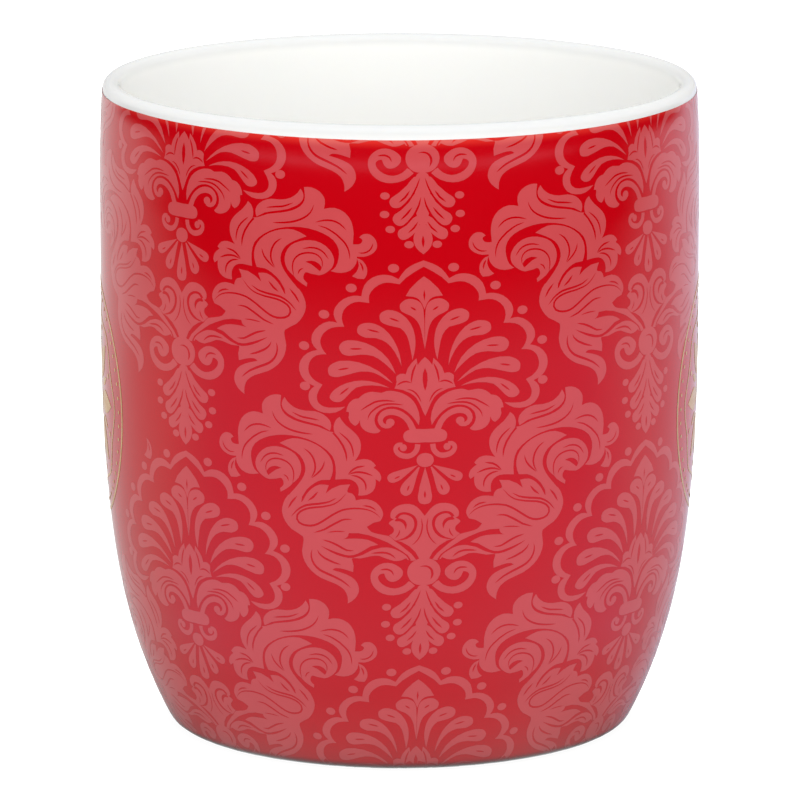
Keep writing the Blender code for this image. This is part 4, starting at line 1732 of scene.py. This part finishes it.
@dataclass
class Gilding:
    """A round gold ornament on each side of the cup: rings, beads and an eight-petalled rosette."""

    transfer: Transfer
    height: float = 47.5
    radius: float = 17.0

    def band(self, radius: Callable[[np.ndarray], np.ndarray], width: float, steps: int = 192) -> Arrays:
        """A line round the middle: (rho cos a, rho sin a), rho from radius(a) - width to radius(a).

        Args:
            radius: the outer radius at each angle.
            width: the line's width.
            steps: steps round.

        Returns:
            Points (u, v) and faces.
        """
        a = turns(steps)
        rho = np.stack([radius(a), radius(a) - width], 1)
        flat = np.stack([rho * np.cos(a)[:, None], rho * np.sin(a)[:, None]], 2).reshape(-1, 2)
        faces, _ = grid_faces(steps, 2, closed_rows=True)
        return flat, faces

    def petal(self, angle: float, inner: float, outer: float, half: float) -> Arrays:
        """A leaf along one direction: half its width is half * sin(pi t ** 0.8), and a little more.

        Args:
            angle: the direction.
            inner: where the leaf starts.
            outer: where it ends.
            half: half its greatest width.

        Returns:
            Points (u, v) and faces.
        """
        t = np.linspace(0, 1, 17)[:, None]
        s = np.linspace(-1, 1, 5)[None, :]
        along = inner + (outer - inner) * t + 0 * s
        aside = (half * np.sin(np.pi * t**0.8) + 0.02) * s
        c, d = np.cos(angle), np.sin(angle)
        flat = np.stack([along * c - aside * d, along * d + aside * c], 2).reshape(-1, 2)
        faces, _ = grid_faces(17, 5)
        return flat, faces

    def dots(self, radius: float, size: float, count: int, turn: float = 0.0) -> list[Arrays]:
        """Round dots spaced evenly on a circle, each of three rings and a fan that fills the last.

        Args:
            radius: the circle's radius.
            size: a dot's radius.
            count: how many dots.
            turn: the first dot's angle.

        Returns:
            For each dot, points (u, v) and faces.
        """
        made = []
        a = turns(12)
        rho = np.array([size, size / 2, 0.04])[:, None]
        disc = np.stack([rho * np.cos(a), rho * np.sin(a)], 2).reshape(-1, 2)
        faces, _ = grid_faces(3, 12, closed_columns=True)
        k = 2 * np.arange(5)
        fan = 24 + np.stack([0 * k, k + 1, k + 2, k + 3], 1)
        faces = np.vstack([faces, fan])
        for number in range(count):
            b = turn + number * ROUND / count
            made.append((disc + (radius * np.cos(b), radius * np.sin(b)), faces))
        return made

    def figures(self) -> list[Arrays]:
        """Every gold line, leaf and dot of one ornament.

        Returns:
            For each, points (u, v) and faces.
        """
        r = self.radius
        made = [
            self.band(lambda a: np.full_like(a, r), 0.45),
            self.band(lambda a: r - 3.4 - 1.0 * np.abs(np.sin(4 * a)) ** 1.6, 0.34),
            self.band(lambda a: np.full_like(a, 3.3), 0.34, 96),
            self.band(lambda a: np.full_like(a, 1.5), 1.46, 48),
        ]
        for k in range(8):
            made.append(self.petal(k * ROUND / 8, 4.2, 11.6, 1.6))
            made.append(self.petal((k + 0.5) * ROUND / 8, 6.0, 9.4, 0.5))
        return made + self.dots(r - 1.6, 0.27, 48) + self.dots(10.9, 0.4, 8, ROUND / 16)

    def ornament(self, centre: float) -> Shape:
        """One ornament laid on the wall.

        Args:
            centre: the angle from the front that its middle comes to.

        Returns:
            The whole ornament.
        """
        run = self.transfer.run_at(self.height)
        whole: Optional[Shape] = None
        for flat, faces in self.figures():
            a, b, c = (flat[faces[0, k]] for k in range(3))
            area = (b - a)[0] * (c - a)[1] - (b - a)[1] * (c - a)[0]
            faces = faces[:, ::-1] if area > 0 else faces
            coat = self.transfer.laid(flat + (0.0, run), faces, centre, Lift.GILT)
            whole = coat if whole is None else whole.joined(coat)
        return whole

    def build(self, gold: BurnishedGold) -> None:
        """Lays both ornaments."""
        finish = gold.material()
        for name, centre in (("left", -np.pi / 2), ("right", np.pi / 2)):
            self.ornament(centre).piece(f"gilt_ornament_{name}", finish, Slot.GILT)


@dataclass(frozen=True)
class StudioPaper:
    """Matt white paper under the mug.

    It is lit to clear white for the camera and keeps the mug's shadow, with a painted shade and a painted
    dark line round the foot, and it is seen in the glaze as a bright table that falls off to dark in front,
    with one lighter strip beyond.
    """

    white: str = "#BABAB9"
    reach: float = 1.2  # m, over which the brightness is graded
    lift: float = 0.97  # extra light for the camera, so that the paper is clear white but for a faint shadow
    painted_contact_shadow: Pair = (0.0313, 0.0316)  # m from the axis, a painted contact shadow: the dark line where the foot meets it
    under: Pair = (0.0314, 0.040)  # m from the axis, painted shade: the paper's white darkened to nothing where the foot keeps light off it
    ahead: Stops = (  # distance in m, brightness, and how much bluer
        (0.0312, 1.02, 1.0), (0.0345, 1.0, 1.0), (0.038, 0.85, 1.05), (0.048, 0.62, 1.15),
        (0.066, 0.60, 1.25), (0.095, 0.50, 1.33), (0.191, 0.34, 1.40), (0.317, 0.29, 1.45),
        (0.382, 0.10, 1.45), (0.422, 0.0, 1.0), (0.940, 0.0, 1.0), (0.965, 0.55, 1.3),
        (1.065, 0.55, 1.3), (1.095, 0.0, 1.0),
    )
    beside: Stops = (
        (0.0312, 0.32, 1.0), (0.0345, 0.37, 1.0), (0.038, 0.46, 1.0), (0.060, 0.63, 1.0),
        (0.100, 0.74, 1.0), (0.190, 0.80, 1.0), (0.310, 0.74, 1.0), (0.361, 0.60, 1.0),
        (0.400, 0.52, 1.0), (0.500, 0.80, 1.0), (0.600, 0.92, 1.0),
    )
    behind: Stops = (
        (0.0312, 0.58, 1.0), (0.034, 0.62, 1.0), (0.040, 0.64, 1.0), (0.100, 0.70, 1.0),
        (0.190, 0.82, 1.0), (0.310, 0.84, 1.0), (0.600, 0.86, 1.0),
    )
    near: Pair = (0.034, 0.070)  # m, over which what lies ahead widens and brightens aside
    near_turn: float = np.radians(33.0)  # how much further round it then reaches
    near_gain: float = 0.35
    far: Pair = (0.36, 0.50)  # m, over which it widens once more
    far_turn: float = np.radians(25.0)
    aside: float = np.radians(65.0)  # the turn from the front where the gain is full
    to_side: Pair = (np.radians(29.0), np.radians(67.0))  # from what is ahead to beside
    to_back: Pair = (np.radians(108.0), np.radians(130.0))  # from beside to behind
    to_right: Pair = (np.radians(50.0), np.radians(90.0))  # into the cooler light
    right: tuple[float, float, float, float] = (0.98, 1.0, 1.16, 1.0)  # cooler light on the right
    lit_middle: float = -0.267  # m, y of the middle of the lit circle
    lit_end: Pair = (0.88, 0.94)  # m from that middle, where its light ends
    to_rear: Pair = (np.radians(122.0), np.radians(142.0))  # past it the paper stays lit

    def graded(self, tree: Tree, value: Socket, stops: Stops) -> Socket:
        """A brightness that follows a distance through stops of place, level and blueness.

        A level of blueness b is the colour level * (1.35 - 0.35 b, 1, b).

        Args:
            tree: the node tree.
            value: the square root of the distance's share of the reach, so that the near stops, which
                lie closest together, are told apart.
            stops: each stop's distance, level and blueness.

        Returns:
            The colour socket.
        """
        ramp = add_node(tree, "ShaderNodeValToRGB", {"Fac": value})
        for number, (where, level, blue) in enumerate(stops):
            made = ramp.color_ramp.elements
            position = (where / self.reach) ** 0.5
            stop = made[number] if number < 2 else made.new(position)
            stop.position = position
            stop.color = (level * (1.35 - 0.35 * blue), level, level * blue, 1.0)
        return ramp.outputs["Color"]

    def material(self) -> bpy.types.Material:
        """White paper; glossy rays see its brightness by distance from the cup's axis and by direction.

        Returns:
            The material.
        """
        made, tree, out = new_material("matt studio paper")
        place = add_node(tree, "ShaderNodeTexCoord").outputs["Object"]
        centred = add_node(
            tree, "ShaderNodeMapping", {"Vector": place, "Location": (0.0, -AXIS_PLACE[1] * MM, 0.0)}
        ).outputs["Vector"]
        split = add_node(tree, "ShaderNodeSeparateXYZ", {"Vector": centred}).outputs
        distance = add_node(tree, "ShaderNodeVectorMath", {0: centred}, operation="LENGTH").outputs["Value"]
        from_middle = add_node(
            tree, "ShaderNodeVectorMath", {0: place, 1: (0.0, self.lit_middle, 0.0)}, operation="DISTANCE"
        ).outputs["Value"]
        part = add_node(tree, "ShaderNodeMath", {0: distance, 1: self.reach}, operation="DIVIDE").outputs[0]
        share = add_node(tree, "ShaderNodeMath", {0: part}, operation="SQRT").outputs[0]
        nearer = add_node(tree, "ShaderNodeMath", {0: split["Y"], 1: -1.0}, operation="MULTIPLY").outputs[0]
        angle = add_node(tree, "ShaderNodeMath", {0: split["X"], 1: nearer}, operation="ARCTAN2").outputs[0]
        turn = add_node(tree, "ShaderNodeMath", {0: angle}, operation="ABSOLUTE").outputs[0]
        risen = {}
        for name, value, (start, end), top in (
            ("near turn", distance, self.near, self.near_turn),
            ("far turn", distance, self.far, self.far_turn),
            ("gain", distance, self.near, self.near_gain),
            ("aside", turn, (0.0, self.aside), 1.0),
            ("back", turn, self.to_back, 1.0),
            ("right", angle, self.to_right, 1.0),
            ("rear", turn, self.to_rear, 1.0),
            ("ended", from_middle, self.lit_end, 1.0),
            # painted shade: the paper's white rises from nothing at the foot
            ("paper", distance, self.under, linear(self.white)[1]),
            # painted contact shadow: no extra light for the camera where the foot meets the paper
            ("touch", distance, self.painted_contact_shadow, self.lift),
        ):
            risen[name] = add_node(
                tree,
                "ShaderNodeMapRange",
                {"Value": value, "From Min": start, "From Max": end, "To Max": top},
                interpolation_type="SMOOTHSTEP",
            ).outputs["Result"]
        later = add_node(
            tree, "ShaderNodeMath", {0: risen["near turn"], 1: risen["far turn"]}, operation="ADD"
        ).outputs[0]
        swung = add_node(tree, "ShaderNodeMath", {0: turn, 1: later}, operation="SUBTRACT").outputs[0]
        to_side = add_node(
            tree,
            "ShaderNodeMapRange",
            {"Value": swung, "From Min": self.to_side[0], "From Max": self.to_side[1]},
            interpolation_type="SMOOTHSTEP",
        ).outputs["Result"]
        wider = add_node(
            tree, "ShaderNodeMath", {0: risen["aside"], 1: risen["gain"], 2: 1.0}, operation="MULTIPLY_ADD"
        ).outputs[0]
        front = add_node(
            tree,
            "ShaderNodeVectorMath",
            {0: self.graded(tree, share, self.ahead), "Scale": wider},
            operation="SCALE",
        ).outputs[0]
        side = add_node(
            tree,
            "ShaderNodeMix",
            {"Factor": to_side, "A": front, "B": self.graded(tree, share, self.beside)},
            data_type="RGBA",
        ).outputs[2]
        all_round = add_node(
            tree,
            "ShaderNodeMix",
            {"Factor": risen["back"], "A": side, "B": self.graded(tree, share, self.behind)},
            data_type="RGBA",
        ).outputs[2]
        level = add_node(
            tree,
            "ShaderNodeMix",
            {"Factor": risen["right"], "A": all_round, "B": self.right},
            data_type="RGBA",
            blend_type="MULTIPLY",
        ).outputs[2]
        inner = add_node(
            tree, "ShaderNodeMath", {0: 1.0, 1: risen["ended"]}, operation="SUBTRACT"
        ).outputs[0]
        still_lit = add_node(
            tree, "ShaderNodeMath", {0: inner, 1: risen["rear"]}, operation="MAXIMUM"
        ).outputs[0]
        seen = add_node(tree, "ShaderNodeEmission", {"Color": level, "Strength": still_lit}).outputs[0]
        paper = add_node(tree, "ShaderNodeBsdfDiffuse", {"Color": risen["paper"]}).outputs[0]
        extra = add_node(tree, "ShaderNodeEmission", {"Strength": risen["touch"]}).outputs[0]
        clear = add_node(tree, "ShaderNodeAddShader", {0: paper, 1: extra}).outputs[0]
        tree.links.new(by_ray(tree, paper, seen, clear), out.inputs["Surface"])
        return made


@dataclass
class Studio:
    """The plain pale floor, soft light and the camera of the photograph's view."""

    half: float = 3.0  # m, half the floor's width
    sky: float = 0.84  # even light from all round
    front: float = 1.36  # more light from the front, at its strongest
    front_way: tuple[float, float, float] = (0.05, -0.96, 0.27)
    sky_seen: float = 0.86  # the walls as the glaze sees them
    lamp_power: float = 1.5  # W
    lamp_size: Pair = (1.3, 0.9)  # m
    lamp_place: tuple[float, float, float] = (0.08, -0.55, 1.35)
    lamp_aim: tuple[float, float, float] = (0.0, -0.017, 0.05)
    eye: tuple[float, float, float] = (0.0, -0.9678, 0.2459)
    eye_tilt: float = np.radians(78.12)  # from straight down
    lens: float = 306.4  # mm, on a sensor 36 mm wide

    def floor(self) -> None:
        """A level sheet of paper at the table's height."""
        mesh = bpy.data.meshes.new("studio_floor")
        h = self.half
        mesh.from_pydata([(-h, -h, 0.0), (h, -h, 0.0), (h, h, 0.0), (-h, h, 0.0)], [], [(0, 1, 2, 3)])
        mesh.materials.append(StudioPaper().material())
        made = bpy.data.objects.new("studio_floor", mesh)
        bpy.context.collection.objects.link(made)

    def world(self) -> None:
        """White behind the mug, even light with more from the front, and pale walls in the glaze."""
        world = bpy.data.worlds.new("studio light")
        bpy.context.scene.world = world
        world.use_nodes = True
        tree = world.node_tree
        tree.nodes.clear()
        towards = add_node(tree, "ShaderNodeTexCoord").outputs["Generated"]
        facing = add_node(
            tree, "ShaderNodeVectorMath", {0: towards, 1: self.front_way}, operation="DOT_PRODUCT"
        ).outputs["Value"]
        front = add_node(
            tree,
            "ShaderNodeMapRange",
            {"Value": facing, "To Min": self.sky, "To Max": self.sky + self.front},
            interpolation_type="SMOOTHSTEP",
        ).outputs["Result"]
        lit = add_node(tree, "ShaderNodeBackground", {"Strength": front}).outputs[0]
        seen = add_node(tree, "ShaderNodeBackground", {"Strength": self.sky_seen}).outputs[0]
        clear = add_node(tree, "ShaderNodeBackground", {"Strength": 1.0}).outputs[0]
        add_node(tree, "ShaderNodeOutputWorld", {"Surface": by_ray(tree, lit, seen, clear)})

    def lamp(self) -> None:
        """One large softbox above and in front, aimed at the mug."""
        light = bpy.data.lights.new("softbox", "AREA")
        light.shape = "RECTANGLE"
        light.size, light.size_y = self.lamp_size
        light.energy = self.lamp_power
        made = bpy.data.objects.new("softbox", light)
        made.location = self.lamp_place
        aim = Vector(self.lamp_aim) - made.location
        made.rotation_euler = aim.to_track_quat("-Z", "Y").to_euler()
        bpy.context.collection.objects.link(made)

    def camera(self) -> None:
        """A long lens a little above the lip, looking down by about twelve degrees."""
        camera = bpy.data.cameras.new("camera")
        camera.lens = self.lens
        camera.sensor_width = 36.0
        camera.shift_x = 0.0005
        camera.clip_end = 20.0
        made = bpy.data.objects.new("camera", camera)
        made.location = self.eye
        made.rotation_euler = (self.eye_tilt, 0.0, 0.0)
        bpy.context.collection.objects.link(made)
        bpy.context.scene.camera = made

    def build(self) -> None:
        """Sets the stage."""
        self.camera()
        self.floor()
        self.world()
        self.lamp()
        bpy.context.scene.view_settings.view_transform = "Standard"


def main() -> None:
    """Builds the mug piece by piece and sets it in the studio."""
    logging.basicConfig(level=logging.INFO, format="%(name)s: %(message)s")
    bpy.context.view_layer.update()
    Studio().build()
    glaze = Glaze("glazed bone china")
    Cup().build(glaze, GroundFoot())
    transfer = Transfer()
    ground = FiredRed("on-glaze red print, ground", colour="#C90010", weak_print_and_painted_lip_shade="#C40513", glow="#EC382F")
    damask = FiredRed("on-glaze red print, damask", colour="#D25054", weak_print_and_painted_lip_shade="#CD4A4E", glow="#EC7068")
    Wrap(transfer).build(ground, damask)
    Gilding(transfer).build(BurnishedGold())
    slip_glaze = Glaze("glazed slip joint", pooled="#F4F2EA", ripple=3.0)
    Handle().build(Glaze("glazed bone china handle", ripple=5.0), slip_glaze)


if __name__ == "__main__":
    main()
